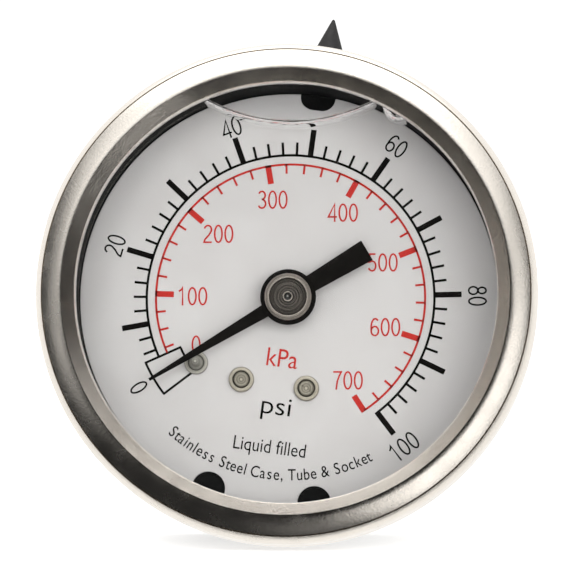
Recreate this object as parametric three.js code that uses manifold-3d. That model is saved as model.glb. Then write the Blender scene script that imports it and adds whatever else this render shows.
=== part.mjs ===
// A liquid-filled dial pressure gauge with a steel case and a threaded stem at the centre of its back.
// Millimetres. The dial faces -Y, 12 o'clock is +Z, and the stem points along +Y.
// The origin is on the stem's axis, at the shoulder between its wrench square and its thread.

import * as THREE from 'three';
import { mergeVertices } from 'three/addons/utils/BufferGeometryUtils.js';
import Module from 'manifold-3d';

const wasm = await Module();
wasm.setup();

// ---------------------------------------------------------------- driving dimensions

const BEZEL_R = 27.5;
const OPENING_R = 22.95;
const CASE_R = 25;
const CASE_WALL = 0.8;
const CASE_BACK_Y = -10;
const CASE_CORNER_R = 2.5;
const FLANGE_R = 26.3;
const FLANGE_Y = -33.1;
const WINDOW_R = 25.6;
const WINDOW_Y = [-34.6, -37.1];
const BEZEL_FRONT_Y = -40;

const DIAL_R = 23.1;
const DIAL_Y = [-27.5, -28];
const NOTCH_R = 1.86;
const NOTCH_CENTRE_R = 22.75;
const NOTCH_ANGLE = 15;
const TOP_NOTCH_HALF_WIDTH = 1.95;
const TOP_NOTCH_FLOOR_R = 21.2;
const DIAL_SCREWS = [
  { name: 'dial_screw_left', x: -3.94, z: -9.6 },
  { name: 'dial_screw_right', x: 3.3, z: -9.6 },
];

const POINTER_ANGLE = -128.6;
const POINTER_Y = [-30.3, -30.6];
const POINTER_TIP_R = 17.8;
const POINTER_TAIL_R = 10.1;
const POINTER_BOSS_R = 3.07;
const BLADE_ROOT_R = 2;
const BLADE_ROOT_HALF_WIDTH = 0.76;
const BLADE_TIP_HALF_WIDTH = 0.16;
const TAIL_ROOT_HALF_WIDTH = 0.93;
const TAIL_END_HALF_WIDTH = 1.25;
const BUSH_R = 2.6;

const GEAR_MODULE = 0.25;
const PRESSURE_ANGLE = THREE.MathUtils.degToRad(20);
const PINION_TEETH = 10;
const SECTOR_TEETH = 80;
const PROFILE_SHIFT = 0.4;
const BACKLASH = 0.03;
const CENTRE_DISTANCE = (GEAR_MODULE * (PINION_TEETH + SECTOR_TEETH)) / 2;
const SECTOR_DIRECTION = 120;
const SECTOR_Y = [-21.8, -22.6];

const TAIL_R = 4.82;
const TAIL_ANGLE = 128.76;
const TIP_PIVOT_R = 17.5;
const TIP_PIVOT_ANGLE = 93;
const LINK_Y = [-22.7, -23.3];
const LINK_PIN_R = 0.4;
const OPEN_PIVOT_HOLE_R = 0.65;

const FRONT_PLATE_Y = [-25.4, -26.4];
const BACK_PLATE_Y = [-18.8, -19.8];
const PILLARS = [
  [-7.5, 5.5],
  [7.5, 6.5],
  [-6.5, -7],
];
const MOVEMENT_SCREWS = [
  [-4.8, 3.2],
  [4.8, 3.2],
];

const TUBE_R = 17;
const TUBE_WIDTH = 6.5;
const TUBE_THICKNESS = 2;
const TUBE_WALL = 0.3;
const TUBE_Y = -17.75;
const TUBE_ROOT_ANGLE = 182;
const TUBE_TIP_ANGLE = 446;

const SQUARE_WIDTH = 14;
const SQUARE_CORNER_R = 8.1;
const STEM_BORE_R = 1.75;
const THREAD_LENGTH = 15;
const THREAD_R = [6.85, 6.4];
const THREAD_NECK_R = 5.9;
const SOCKET_FLANGE_R = 12.6;
const SOCKET_FLANGE_Y = [-11.4, -13.4];
const SOCKET_FRONT_Y = -18.75;
const SOCKET_SCREW_X = 10.9;

const PLUG_Y = -20;
const PLUG_TIP_Z = 33.2;
const PLUG_HOLE_R = 2.1;

const GAP = 0.03;

const LARGE_ROUND = 48;
const MEDIUM_ROUND = 24;
const SMALL_ROUND = 14;

// ---------------------------------------------------------------- shape helpers

// A point at a radius and an angle in degrees, clockwise from 12 o'clock as seen from the front.
function polar(radius, degrees, centre = [0, 0]) {
  const angle = THREE.MathUtils.degToRad(degrees);
  return [centre[0] + radius * Math.sin(angle), centre[1] + radius * Math.cos(angle)];
}

function toManifold(geometry) {
  const bare = geometry.clone();
  bare.deleteAttribute('normal');
  bare.deleteAttribute('uv');
  const merged = mergeVertices(bare, 1e-5);
  const vertices = new Float32Array(merged.attributes.position.array);
  const corner = (i) => new THREE.Vector3().fromArray(vertices, 3 * i);
  const faces = [];
  let volume = 0;
  for (let i = 0; i < merged.index.count; i += 3) {
    const [a, b, c] = [0, 1, 2].map((k) => merged.index.getX(i + k));
    if (a !== b && b !== c && c !== a) {
      faces.push([a, b, c]);
      volume += corner(a).dot(corner(b).cross(corner(c)));
    }
  }
  const outward = faces.map(([a, b, c]) => (volume < 0 ? [a, c, b] : [a, b, c]));
  const triVerts = new Uint32Array(outward.flat());
  return new wasm.Manifold(new wasm.Mesh({ numProp: 3, vertProperties: vertices, triVerts }));
}

function toGeometry(solid) {
  const mesh = solid.getMesh();
  const geometry = new THREE.BufferGeometry();
  geometry.setAttribute('position', new THREE.BufferAttribute(mesh.vertProperties, 3));
  geometry.setIndex(new THREE.BufferAttribute(mesh.triVerts, 1));
  return geometry;
}

function joined(...geometries) {
  return toGeometry(geometries.map(toManifold).reduce((whole, piece) => whole.add(piece)));
}

function cut(base, ...tools) {
  return toGeometry(tools.map(toManifold).reduce((whole, tool) => whole.subtract(tool), toManifold(base)));
}

// A solid of revolution about the gauge's axis, from a closed profile of [radius, y] points.
function turned(profile, segments = MEDIUM_ROUND) {
  const closed = [...profile, profile[0]].map(([radius, y]) => new THREE.Vector2(radius, y));
  return new THREE.LatheGeometry(closed, segments);
}

// A round bar along the gauge's axis, between two y values, at a place on the dial plane.
function bar(radius, [rearY, frontY], [x, z] = [0, 0], segments = SMALL_ROUND) {
  const length = Math.abs(rearY - frontY);
  return new THREE.CylinderGeometry(radius, radius, length, segments).translate(x, (rearY + frontY) / 2, z);
}

// A flat plate in the dial's plane: a 2D outline whose own y is the gauge's z.
function plate(shape, [rearY, frontY], curveSegments = 3) {
  const options = { depth: rearY - frontY, bevelEnabled: false, curveSegments };
  return new THREE.ExtrudeGeometry(shape, options).rotateX(Math.PI / 2).translate(0, rearY, 0);
}

function outline(points) {
  return new THREE.Shape(points.map(([x, z]) => new THREE.Vector2(x, z)));
}

// A polygon whose corners are rounded off with the given radius.
function roundedOutline(points, radius) {
  const shape = new THREE.Shape();
  const corners = points.map(([x, z]) => new THREE.Vector2(x, z));
  corners.forEach((corner, i) => {
    const before = corners[(i + corners.length - 1) % corners.length];
    const after = corners[(i + 1) % corners.length];
    const start = before.clone().sub(corner).setLength(radius).add(corner);
    const end = after.clone().sub(corner).setLength(radius).add(corner);
    if (i === 0) {
      shape.moveTo(start.x, start.y);
    } else {
      shape.lineTo(start.x, start.y);
    }
    shape.quadraticCurveTo(corner.x, corner.y, end.x, end.y);
  });
  shape.closePath();
  return shape;
}

// A straight bar with round ends between two pivots.
function rodOutline(from, to, halfWidth, endSegments = 6) {
  const a = new THREE.Vector2(...from);
  const b = new THREE.Vector2(...to);
  const heading = b.clone().sub(a).angle();
  const points = [];
  for (const [centre, first] of [[b, heading - Math.PI / 2], [a, heading + Math.PI / 2]]) {
    for (let i = 0; i <= endSegments; i += 1) {
      const angle = first + (Math.PI * i) / endSegments;
      points.push([centre.x + halfWidth * Math.cos(angle), centre.y + halfWidth * Math.sin(angle)]);
    }
  }
  return outline(points);
}

// A screw with its head towards the front, or towards the back when facing is 1.
function screw(shankR, headR, headHeight, seatY, length, place, slots, facing = -1) {
  const rim = headHeight * 0.35;
  const profile = [
    [0, -length],
    [shankR, -length],
    [shankR, 0],
    [headR, 0],
    [headR, headHeight - rim],
    [headR - rim, headHeight],
    [0, headHeight],
  ].map(([radius, y]) => new THREE.Vector2(radius, facing * y));
  const body = new THREE.LatheGeometry(profile, SMALL_ROUND);
  const slotDepth = headHeight * 0.5;
  const slotWidth = headR * 0.3;
  const slotY = facing * (headHeight - slotDepth / 2 + 0.1);
  const tools = [];
  for (let i = 0; i < slots; i += 1) {
    const slotLength = slots > 1 ? headR * 1.3 : headR * 2.2;
    const slot = new THREE.BoxGeometry(slotLength, slotDepth + 0.2, slotWidth);
    tools.push(slot.rotateY((i * Math.PI) / 2 + 0.3).translate(0, slotY, 0));
  }
  return cut(body, ...tools).translate(place[0], seatY, place[1]);
}

// ---------------------------------------------------------------- gears

function involute(angle) {
  return Math.tan(angle) - angle;
}

// Points along a row of involute teeth, clockwise from the first tooth's centre.
function toothPoints({ teeth, shift, centre, firstAngle, count }) {
  const pitchR = (GEAR_MODULE * teeth) / 2;
  const baseR = pitchR * Math.cos(PRESSURE_ANGLE);
  const tipR = pitchR + GEAR_MODULE * (0.9 + shift);
  const rootR = pitchR - GEAR_MODULE * (1.25 - shift);
  const thickness = GEAR_MODULE * (Math.PI / 2 + 2 * shift * Math.tan(PRESSURE_ANGLE)) - BACKLASH;
  const halfAngle = (radius) => {
    const pressure = radius > baseR ? Math.acos(baseR / radius) : 0;
    const half = thickness / (2 * pitchR) + involute(PRESSURE_ANGLE) - involute(pressure);
    return THREE.MathUtils.radToDeg(half);
  };
  const start = Math.max(baseR, rootR);
  const radii = [rootR, start, (start + tipR) / 2, tipR].filter((r, i, all) => i === 0 || r > all[i - 1]);
  const points = [];
  for (let i = 0; i < count; i += 1) {
    const middle = firstAngle + (360 / teeth) * i;
    for (const radius of radii) {
      points.push(polar(radius, middle - halfAngle(radius), centre));
    }
    for (const radius of [...radii].reverse()) {
      points.push(polar(radius, middle + halfAngle(radius), centre));
    }
  }
  return points;
}

// ---------------------------------------------------------------- case and front

const root = [];
const steel = { color: 0xb9b7b2, roughness: 0.35, metalness: 1 };
const brass = { color: 0xc2a35c, roughness: 0.4, metalness: 1 };
const nickel = { color: 0xb8b09c, roughness: 0.35, metalness: 1 };
const black = { color: 0x0b0b0c, roughness: 0.6, metalness: 0 };

function add(name, geometry, look) {
  const flat = toGeometry(toManifold(geometry)).toNonIndexed();
  flat.computeVertexNormals();
  const mesh = new THREE.Mesh(flat, new THREE.MeshStandardMaterial(look));
  mesh.name = name;
  root.push(mesh);
}

function ventHole(radius) {
  const depth = 6;
  const hole = new THREE.CylinderGeometry(radius, radius, depth, MEDIUM_ROUND);
  return hole.rotateX(Math.PI / 2).translate(0, PLUG_Y, CASE_R);
}

function addCase() {
  const inner = CASE_R - CASE_WALL;
  const insideY = CASE_BACK_Y - CASE_WALL;
  const corner = CASE_CORNER_R;
  const bend = corner * (1 - Math.SQRT1_2);
  const profile = [
    [SQUARE_CORNER_R + 0.2, CASE_BACK_Y],
    [CASE_R - corner, CASE_BACK_Y],
    [CASE_R - bend, CASE_BACK_Y - bend],
    [CASE_R, CASE_BACK_Y - corner],
    [CASE_R, FLANGE_Y + CASE_WALL + 0.3],
    [CASE_R + 0.3, FLANGE_Y + CASE_WALL],
    [FLANGE_R, FLANGE_Y + CASE_WALL],
    [FLANGE_R, FLANGE_Y],
    [inner, FLANGE_Y],
    [inner, CASE_BACK_Y - corner],
    [inner - bend, insideY - bend],
    [inner - corner + CASE_WALL, insideY],
    [SQUARE_CORNER_R + 0.2, insideY],
  ];
  const holes = [-SOCKET_SCREW_X, SOCKET_SCREW_X].map((x) => bar(1.35, [-9, -12], [x, 0]));
  add('case', cut(turned(profile, LARGE_ROUND), ventHole(PLUG_HOLE_R), ...holes), steel);
}

// The rolled front ring: a skirt crimped behind the case flange, a groove, a crowned band,
// and a cone that slopes in to the lip on the window.
function addBezel() {
  const crimpY = FLANGE_Y + CASE_WALL + GAP;
  const lipY = WINDOW_Y[1] - GAP;
  const outside = [
    [25.4, crimpY + 0.6],
    [27.2, crimpY + 0.55],
    [BEZEL_R, crimpY],
    [BEZEL_R, -37.7],
    [27.1, -38.6],
    [26.65, -38.55],
    [26.5, -38.7],
    [25.6, -39.4],
    [24.42, BEZEL_FRONT_Y],
    [23.17, -38.7],
    [OPENING_R + 0.05, -38.35],
  ];
  const inside = [
    [OPENING_R, lipY],
    [23.5, lipY],
    [24.5, -39.3],
    [25.5, -38.8],
    [26.2, -38],
    [26.85, -37.6],
    [26.85, crimpY],
    [25.4, crimpY],
  ];
  add('bezel', turned([...outside, ...inside], LARGE_ROUND), steel);
}

function addWindow() {
  const look = { color: 0xf2f6f5, roughness: 0.05, metalness: 0, transparent: true, opacity: 0.25 };
  add('window', bar(WINDOW_R, WINDOW_Y, [0, 0], LARGE_ROUND), look);
}

// The black sealing ring: a flat seat under the window, a sleeve round the dial,
// and a ledge behind the dial's edge.
function addWindowGasket() {
  const sleeveR = CASE_R - CASE_WALL - 0.1;
  const wallR = DIAL_R + 0.15;
  const ledgeY = DIAL_Y[0] + GAP;
  const ledgeR = 20.3;
  const rearY = DIAL_Y[0] + 1.7;
  const profile = [
    [ledgeR, rearY],
    [sleeveR, rearY],
    [sleeveR, FLANGE_Y - GAP],
    [WINDOW_R - 0.1, FLANGE_Y - GAP],
    [WINDOW_R - 0.1, WINDOW_Y[0] + GAP],
    [wallR, WINDOW_Y[0] + GAP],
    [wallR, ledgeY],
    [ledgeR, ledgeY],
  ];
  add('window_gasket', turned(profile, LARGE_ROUND), black);
}

// ---------------------------------------------------------------- dial and pointer

function addDial() {
  const y = [DIAL_Y[0] + 0.2, DIAL_Y[1] - 0.2];
  const notches = [-NOTCH_ANGLE, NOTCH_ANGLE].map((side) =>
    bar(NOTCH_R, y, polar(NOTCH_CENTRE_R, 180 + side)));
  const top = joined(
    bar(TOP_NOTCH_HALF_WIDTH, y, [0, TOP_NOTCH_FLOOR_R + TOP_NOTCH_HALF_WIDTH]),
    new THREE.BoxGeometry(2 * TOP_NOTCH_HALF_WIDTH, y[0] - y[1], 2)
      .translate(0, (y[0] + y[1]) / 2, TOP_NOTCH_FLOOR_R + TOP_NOTCH_HALF_WIDTH + 1),
  );
  const screwHoles = DIAL_SCREWS.map(({ x, z }) => bar(0.8, y, [x, z]));
  const pinHole = bar(STOP_PIN.shankR + GAP, y, STOP_PIN.place);
  const disc = bar(DIAL_R, DIAL_Y, [0, 0], 60);
  const look = { color: 0xdcd8d5, roughness: 0.5, metalness: 0 };
  add('dial', cut(disc, bar(2, y), pinHole, top, ...notches, ...screwHoles), look);
}

function addDialScrews() {
  for (const { name, x, z } of DIAL_SCREWS) {
    add(name, screw(0.7, 1.4, 0.75, DIAL_Y[1] - GAP, 2, [x, z], 2), nickel);
  }
}

// The pin that the pointer rests on with no pressure. It stands beside the blade's lower edge.
const STOP_PIN = (() => {
  const alongBlade = 12.4;
  const postR = 0.45;
  const share = (alongBlade - BLADE_ROOT_R) / (POINTER_TIP_R - BLADE_ROOT_R);
  const bladeHalfWidth = THREE.MathUtils.lerp(BLADE_ROOT_HALF_WIDTH, BLADE_TIP_HALF_WIDTH, share);
  const direction = polar(1, POINTER_ANGLE);
  const downhill = polar(1, POINTER_ANGLE - 90);
  const offset = bladeHalfWidth + postR + 2 * GAP;
  const place = [0, 1].map((k) => alongBlade * direction[k] + offset * downhill[k]);
  return { place, postR, shankR: 0.6 };
})();

function addStopPin() {
  const seat = DIAL_Y[1] - GAP;
  const profile = [
    [0, DIAL_Y[0] + 0.1],
    [STOP_PIN.shankR, DIAL_Y[0] + 0.1],
    [STOP_PIN.shankR, seat],
    [1.3, seat],
    [1.3, seat - 0.4],
    [1.05, seat - 0.55],
    [STOP_PIN.postR, seat - 0.6],
    [STOP_PIN.postR, POINTER_Y[1] - 0.35],
    [0, POINTER_Y[1] - 0.5],
  ].map(([radius, y]) => new THREE.Vector2(radius, y));
  const pin = new THREE.LatheGeometry(profile, SMALL_ROUND);
  add('stop_pin', pin.translate(STOP_PIN.place[0], 0, STOP_PIN.place[1]), nickel);
}

function addPointer() {
  const along = polar(1, POINTER_ANGLE);
  const across = polar(1, POINTER_ANGLE + 90);
  const at = (r, w) => [r * along[0] + w * across[0], r * along[1] + w * across[1]];
  const blade = [
    at(-POINTER_TAIL_R, -TAIL_END_HALF_WIDTH),
    at(-POINTER_TAIL_R, TAIL_END_HALF_WIDTH),
    at(-BLADE_ROOT_R, TAIL_ROOT_HALF_WIDTH),
    at(BLADE_ROOT_R, BLADE_ROOT_HALF_WIDTH),
    at(POINTER_TIP_R, BLADE_TIP_HALF_WIDTH),
    at(POINTER_TIP_R, -BLADE_TIP_HALF_WIDTH),
    at(BLADE_ROOT_R, -BLADE_ROOT_HALF_WIDTH),
    at(-BLADE_ROOT_R, -TAIL_ROOT_HALF_WIDTH),
  ];
  const hub = bar(POINTER_BOSS_R, [POINTER_Y[0] + 0.1, POINTER_Y[1] - 0.1], [0, 0], MEDIUM_ROUND);
  const hole = bar(1.3, [POINTER_Y[0] + 1, POINTER_Y[1] - 1]);
  add('pointer', cut(joined(plate(outline(blade), POINTER_Y), hub), hole), black);
}

// The bush that carries the pointer: a sleeve through it and a turned cap in front.
function addPointerBush() {
  const seat = POINTER_Y[1] - 0.1 - GAP;
  const boreR = 0.82;
  const profile = [
    [boreR, POINTER_Y[0] + 0.9],
    [1.25, POINTER_Y[0] + 0.9],
    [1.25, seat],
    [BUSH_R, seat],
    [BUSH_R, seat - 0.45],
    [2.35, seat - 0.75],
    [2.1, seat - 0.8],
    [2.05, seat - 0.6],
    [0.7, seat - 0.6],
    [0.62, seat - 1.25],
    [0.42, seat - 1.3],
    [0.42, seat - 0.4],
    [boreR, seat - 0.1],
  ];
  add('pointer_bush', turned(profile), steel);
}

// ---------------------------------------------------------------- movement

const SECTOR_PIVOT = polar(CENTRE_DISTANCE, SECTOR_DIRECTION);
const TAIL_PIVOT = polar(TAIL_R, TAIL_ANGLE, SECTOR_PIVOT);
const TIP_PIVOT = polar(TIP_PIVOT_R, TIP_PIVOT_ANGLE);
const HAIRSPRING_END_ANGLE = -60;
const HAIRSPRING_STUD = polar(5.9, HAIRSPRING_END_ANGLE);
const HAIRSPRING_Y = [-24.2, -24.6];

function addPinionArbor() {
  const shaft = [
    [0, -19.2],
    [0.45, -19.2],
    [0.45, BACK_PLATE_Y[1] - GAP],
    [0.8, BACK_PLATE_Y[1] - GAP],
    [0.8, -25.2],
    [0.75, -25.3],
    [0.75, POINTER_Y[0] - 0.1],
    [0.38, POINTER_Y[1] - 0.3],
    [0.38, POINTER_Y[1] - 1.5],
    [0, POINTER_Y[1] - 1.6],
  ].map(([radius, y]) => new THREE.Vector2(radius, y));
  const teeth = toothPoints({
    teeth: PINION_TEETH,
    shift: PROFILE_SHIFT,
    centre: [0, 0],
    firstAngle: SECTOR_DIRECTION,
    count: PINION_TEETH,
  });
  const pinion = plate(outline(teeth), [SECTOR_Y[0] + 0.4, SECTOR_Y[1] - 0.4]);
  add('pinion_arbor', joined(new THREE.LatheGeometry(shaft, SMALL_ROUND), pinion), steel);
}

// The toothed sector: a fan of teeth towards the pinion and a tail towards the link.
function addSectorGear() {
  const pitch = 360 / SECTOR_TEETH;
  const spareTeeth = 2;
  const swing = 33.75;
  const count = Math.ceil(swing / pitch) + 2 * spareTeeth;
  const meshAngle = SECTOR_DIRECTION + 180;
  const firstAngle = meshAngle + pitch / 2 - spareTeeth * pitch;
  const lastAngle = firstAngle + (count - 1) * pitch;
  const rim = toothPoints({
    teeth: SECTOR_TEETH,
    shift: -PROFILE_SHIFT,
    centre: SECTOR_PIVOT,
    firstAngle,
    count,
  });
  const fan = [
    polar(1.6, firstAngle - 60, SECTOR_PIVOT),
    polar(9.4, firstAngle - 3, SECTOR_PIVOT),
    ...rim,
    polar(9.4, lastAngle + 3, SECTOR_PIVOT),
    polar(1.6, lastAngle + 60, SECTOR_PIVOT),
  ];
  const window = [
    polar(3.4, (firstAngle + lastAngle) / 2, SECTOR_PIVOT),
    polar(8, firstAngle + 4, SECTOR_PIVOT),
    polar(8.2, (firstAngle + lastAngle) / 2, SECTOR_PIVOT),
    polar(8, lastAngle - 4, SECTOR_PIVOT),
  ];
  const opening = [SECTOR_Y[0] + 1, SECTOR_Y[1] - 1];
  const body = joined(
    plate(outline(fan), SECTOR_Y),
    plate(rodOutline(SECTOR_PIVOT, TAIL_PIVOT, 0.9), SECTOR_Y),
    bar(2, SECTOR_Y, SECTOR_PIVOT),
  );
  const gear = cut(
    body,
    plate(outline(window), opening),
    bar(0.9 + GAP, opening, SECTOR_PIVOT),
    bar(LINK_PIN_R + GAP, opening, TAIL_PIVOT),
  );
  add('sector_gear', gear, brass);
}

function addSectorShaft() {
  const profile = [
    [0, -19.1],
    [0.5, -19.1],
    [0.5, BACK_PLATE_Y[1] - GAP],
    [0.9, BACK_PLATE_Y[1] - GAP],
    [0.9, FRONT_PLATE_Y[0] + GAP],
    [0.5, FRONT_PLATE_Y[0] + GAP],
    [0.5, -26.2],
    [0, -26.2],
  ].map(([radius, y]) => new THREE.Vector2(radius, y));
  const shaft = new THREE.LatheGeometry(profile, SMALL_ROUND);
  add('sector_shaft', shaft.translate(SECTOR_PIVOT[0], 0, SECTOR_PIVOT[1]), steel);
}

function plateOutline() {
  const [px, pz] = SECTOR_PIVOT;
  return roundedOutline([
    [-10, 7.4],
    [-2, 8.4],
    [7.4, 9.4],
    [10.3, 6.6],
    [px + 2.9, pz + 1.2],
    [px + 1.9, pz - 2.7],
    [4.6, -11.6],
    [-5.2, -11.6],
    [-9.4, -8.2],
  ], 1.2);
}

function addMovementPlates() {
  const frontOpening = [FRONT_PLATE_Y[0] + 1, FRONT_PLATE_Y[1] - 1];
  const front = cut(
    plate(plateOutline(), FRONT_PLATE_Y),
    bar(0.8, frontOpening),
    bar(0.55, frontOpening, SECTOR_PIVOT),
    bar(0.5, frontOpening, HAIRSPRING_STUD),
    ...PILLARS.map((place) => bar(0.6, frontOpening, place)),
    ...DIAL_SCREWS.map(({ x, z }) => bar(0.8, frontOpening, [x, z])),
  );
  add('movement_front_plate', front, brass);
  const backOpening = [BACK_PLATE_Y[0] + 1, BACK_PLATE_Y[1] - 1];
  const back = cut(
    plate(plateOutline(), BACK_PLATE_Y),
    bar(0.5, backOpening),
    bar(0.55, backOpening, SECTOR_PIVOT),
    ...MOVEMENT_SCREWS.map((place) => bar(0.85, backOpening, place)),
  );
  add('movement_back_plate', back, brass);
}

function addPillars() {
  PILLARS.forEach(([x, z], i) => {
    const profile = [
      [0, BACK_PLATE_Y[1] - GAP],
      [1.2, BACK_PLATE_Y[1] - GAP],
      [1.2, FRONT_PLATE_Y[0] + GAP],
      [0.57, FRONT_PLATE_Y[0] + GAP],
      [0.57, FRONT_PLATE_Y[1] - 0.15],
      [0, FRONT_PLATE_Y[1] - 0.15],
    ].map(([radius, y]) => new THREE.Vector2(radius, y));
    add(`movement_pillar_${i + 1}`, new THREE.LatheGeometry(profile, SMALL_ROUND).translate(x, 0, z), brass);
  });
}

// The posts that the dial is screwed to stand on the movement's front plate.
function addDialPosts() {
  for (const { name, x, z } of DIAL_SCREWS) {
    const length = [FRONT_PLATE_Y[1] - GAP, DIAL_Y[0] + GAP];
    const hole = [length[0] + 1, length[1] - 1];
    const post = cut(bar(1.5, length, [x, z]), bar(0.75, hole, [x, z]));
    add(name.replace('screw', 'post'), post, brass);
  }
}

function addMovementScrews() {
  MOVEMENT_SCREWS.forEach((place, i) => {
    const geometry = screw(0.8, 1.5, 0.8, BACK_PLATE_Y[1] - GAP, 3, place, 1);
    add(`movement_screw_${i + 1}`, geometry, steel);
  });
}

// A flat spiral strip from the collet on the arbor out to the stud on the front plate.
function addHairspring() {
  const turns = 4.5;
  const stepsPerTurn = 12;
  const innerR = 1.5;
  const outerR = 5.35;
  const thickness = 0.12;
  const endAngle = HAIRSPRING_END_ANGLE + 360;
  const steps = turns * stepsPerTurn;
  const edge = (offset) => Array.from({ length: steps + 1 }, (_, i) => {
    const share = i / steps;
    return polar(innerR + (outerR - innerR) * share + offset, endAngle - 360 * turns * (1 - share));
  });
  const strip = [...edge(thickness / 2), ...edge(-thickness / 2).reverse()];
  add('hairspring', plate(outline(strip), HAIRSPRING_Y), brass);
}

function addHairspringFittings() {
  const collet = turned([
    [0.83, -23.9],
    [1.35, -23.9],
    [1.35, -24.9],
    [0.83, -24.9],
  ]);
  add('hairspring_collet', collet, brass);
  const studY = [HAIRSPRING_Y[0] + 0.2, FRONT_PLATE_Y[1] - 0.1];
  add('hairspring_stud', bar(0.45, studY, HAIRSPRING_STUD), brass);
}

function addLink() {
  const opening = [LINK_Y[0] + 1, LINK_Y[1] - 1];
  const link = cut(
    joined(
      plate(rodOutline(TIP_PIVOT, TAIL_PIVOT, 0.55), LINK_Y),
      bar(1.15, LINK_Y, TIP_PIVOT),
      bar(1.15, LINK_Y, TAIL_PIVOT),
    ),
    bar(LINK_PIN_R + 0.05, opening, TIP_PIVOT),
    bar(OPEN_PIVOT_HOLE_R, opening, TAIL_PIVOT),
  );
  add('link', link, steel);
}

function addLinkPins() {
  const pin = (rearY, [x, z]) => {
    const profile = [
      [0, rearY],
      [LINK_PIN_R, rearY],
      [LINK_PIN_R, LINK_Y[1] - 0.1],
      [0.8, LINK_Y[1] - 0.1],
      [0.8, LINK_Y[1] - 0.45],
      [0, LINK_Y[1] - 0.5],
    ].map(([radius, y]) => new THREE.Vector2(radius, y));
    return new THREE.LatheGeometry(profile, SMALL_ROUND).translate(x, 0, z);
  };
  add('link_pin_tube', pin(-21.7, TIP_PIVOT), steel);
  add('link_pin_sector', pin(SECTOR_Y[0] - GAP, TAIL_PIVOT), steel);
}

// ---------------------------------------------------------------- pressure parts

class TubeArc extends THREE.Curve {
  constructor(fromAngle, toAngle) {
    super();
    this.fromAngle = fromAngle;
    this.toAngle = toAngle;
  }

  getPoint(share, target = new THREE.Vector3()) {
    const [x, z] = polar(TUBE_R, THREE.MathUtils.lerp(this.fromAngle, this.toAngle, share));
    return target.set(x, TUBE_Y, z);
  }
}

// The tube's flattened section: long along the gauge's axis, thin along its radius.
function ovalSection(inset) {
  const halfThickness = TUBE_THICKNESS / 2 - inset;
  const halfFlat = TUBE_WIDTH / 2 - TUBE_THICKNESS / 2;
  const path = new THREE.Path();
  path.moveTo(-halfFlat, -halfThickness);
  path.lineTo(halfFlat, -halfThickness);
  path.absarc(halfFlat, 0, halfThickness, -Math.PI / 2, Math.PI / 2, false);
  path.lineTo(-halfFlat, halfThickness);
  path.absarc(-halfFlat, 0, halfThickness, Math.PI / 2, 1.5 * Math.PI, false);
  return path;
}

function sweptOval(inset, fromAngle, toAngle, hollow = false) {
  const shape = new THREE.Shape(ovalSection(inset).getPoints(2));
  if (hollow) {
    shape.holes.push(ovalSection(TUBE_WALL));
  }
  const steps = Math.ceil(Math.abs(toAngle - fromAngle) / 9);
  const extrudePath = new TubeArc(fromAngle, toAngle);
  return new THREE.ExtrudeGeometry(shape, { steps, extrudePath, bevelEnabled: false, curveSegments: 2 });
}

function addBourdonTube() {
  add('bourdon_tube', sweptOval(0, TUBE_ROOT_ANGLE, TUBE_TIP_ANGLE, true), brass);
}

// The end piece closes the tube and carries the link's upper pin on a tab in front.
function addTubeTip() {
  const startAngle = TUBE_TIP_ANGLE + 0.4;
  const sector = [
    polar(TUBE_R - 1.3, startAngle),
    polar(TUBE_R + 1.3, startAngle),
    polar(TUBE_R + 1.3, startAngle + 10),
    polar(TUBE_R - 1.3, startAngle + 10),
  ];
  const halfWidth = TUBE_WIDTH / 2;
  const block = plate(outline(sector), [TUBE_Y + halfWidth + 0.2, TUBE_Y - halfWidth - 0.2]);
  const tab = bar(1.3, [-20.5, LINK_Y[0] + 0.1], TIP_PIVOT);
  const pinHole = bar(LINK_PIN_R + GAP, [-21.65, -23], TIP_PIVOT);
  add('tube_tip', cut(joined(block, tab), pinHole), brass);
}

function stemSquare() {
  const square = new THREE.BoxGeometry(SQUARE_WIDTH, -CASE_BACK_Y, SQUARE_WIDTH);
  return square.translate(0, CASE_BACK_Y / 2, 0);
}

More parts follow.
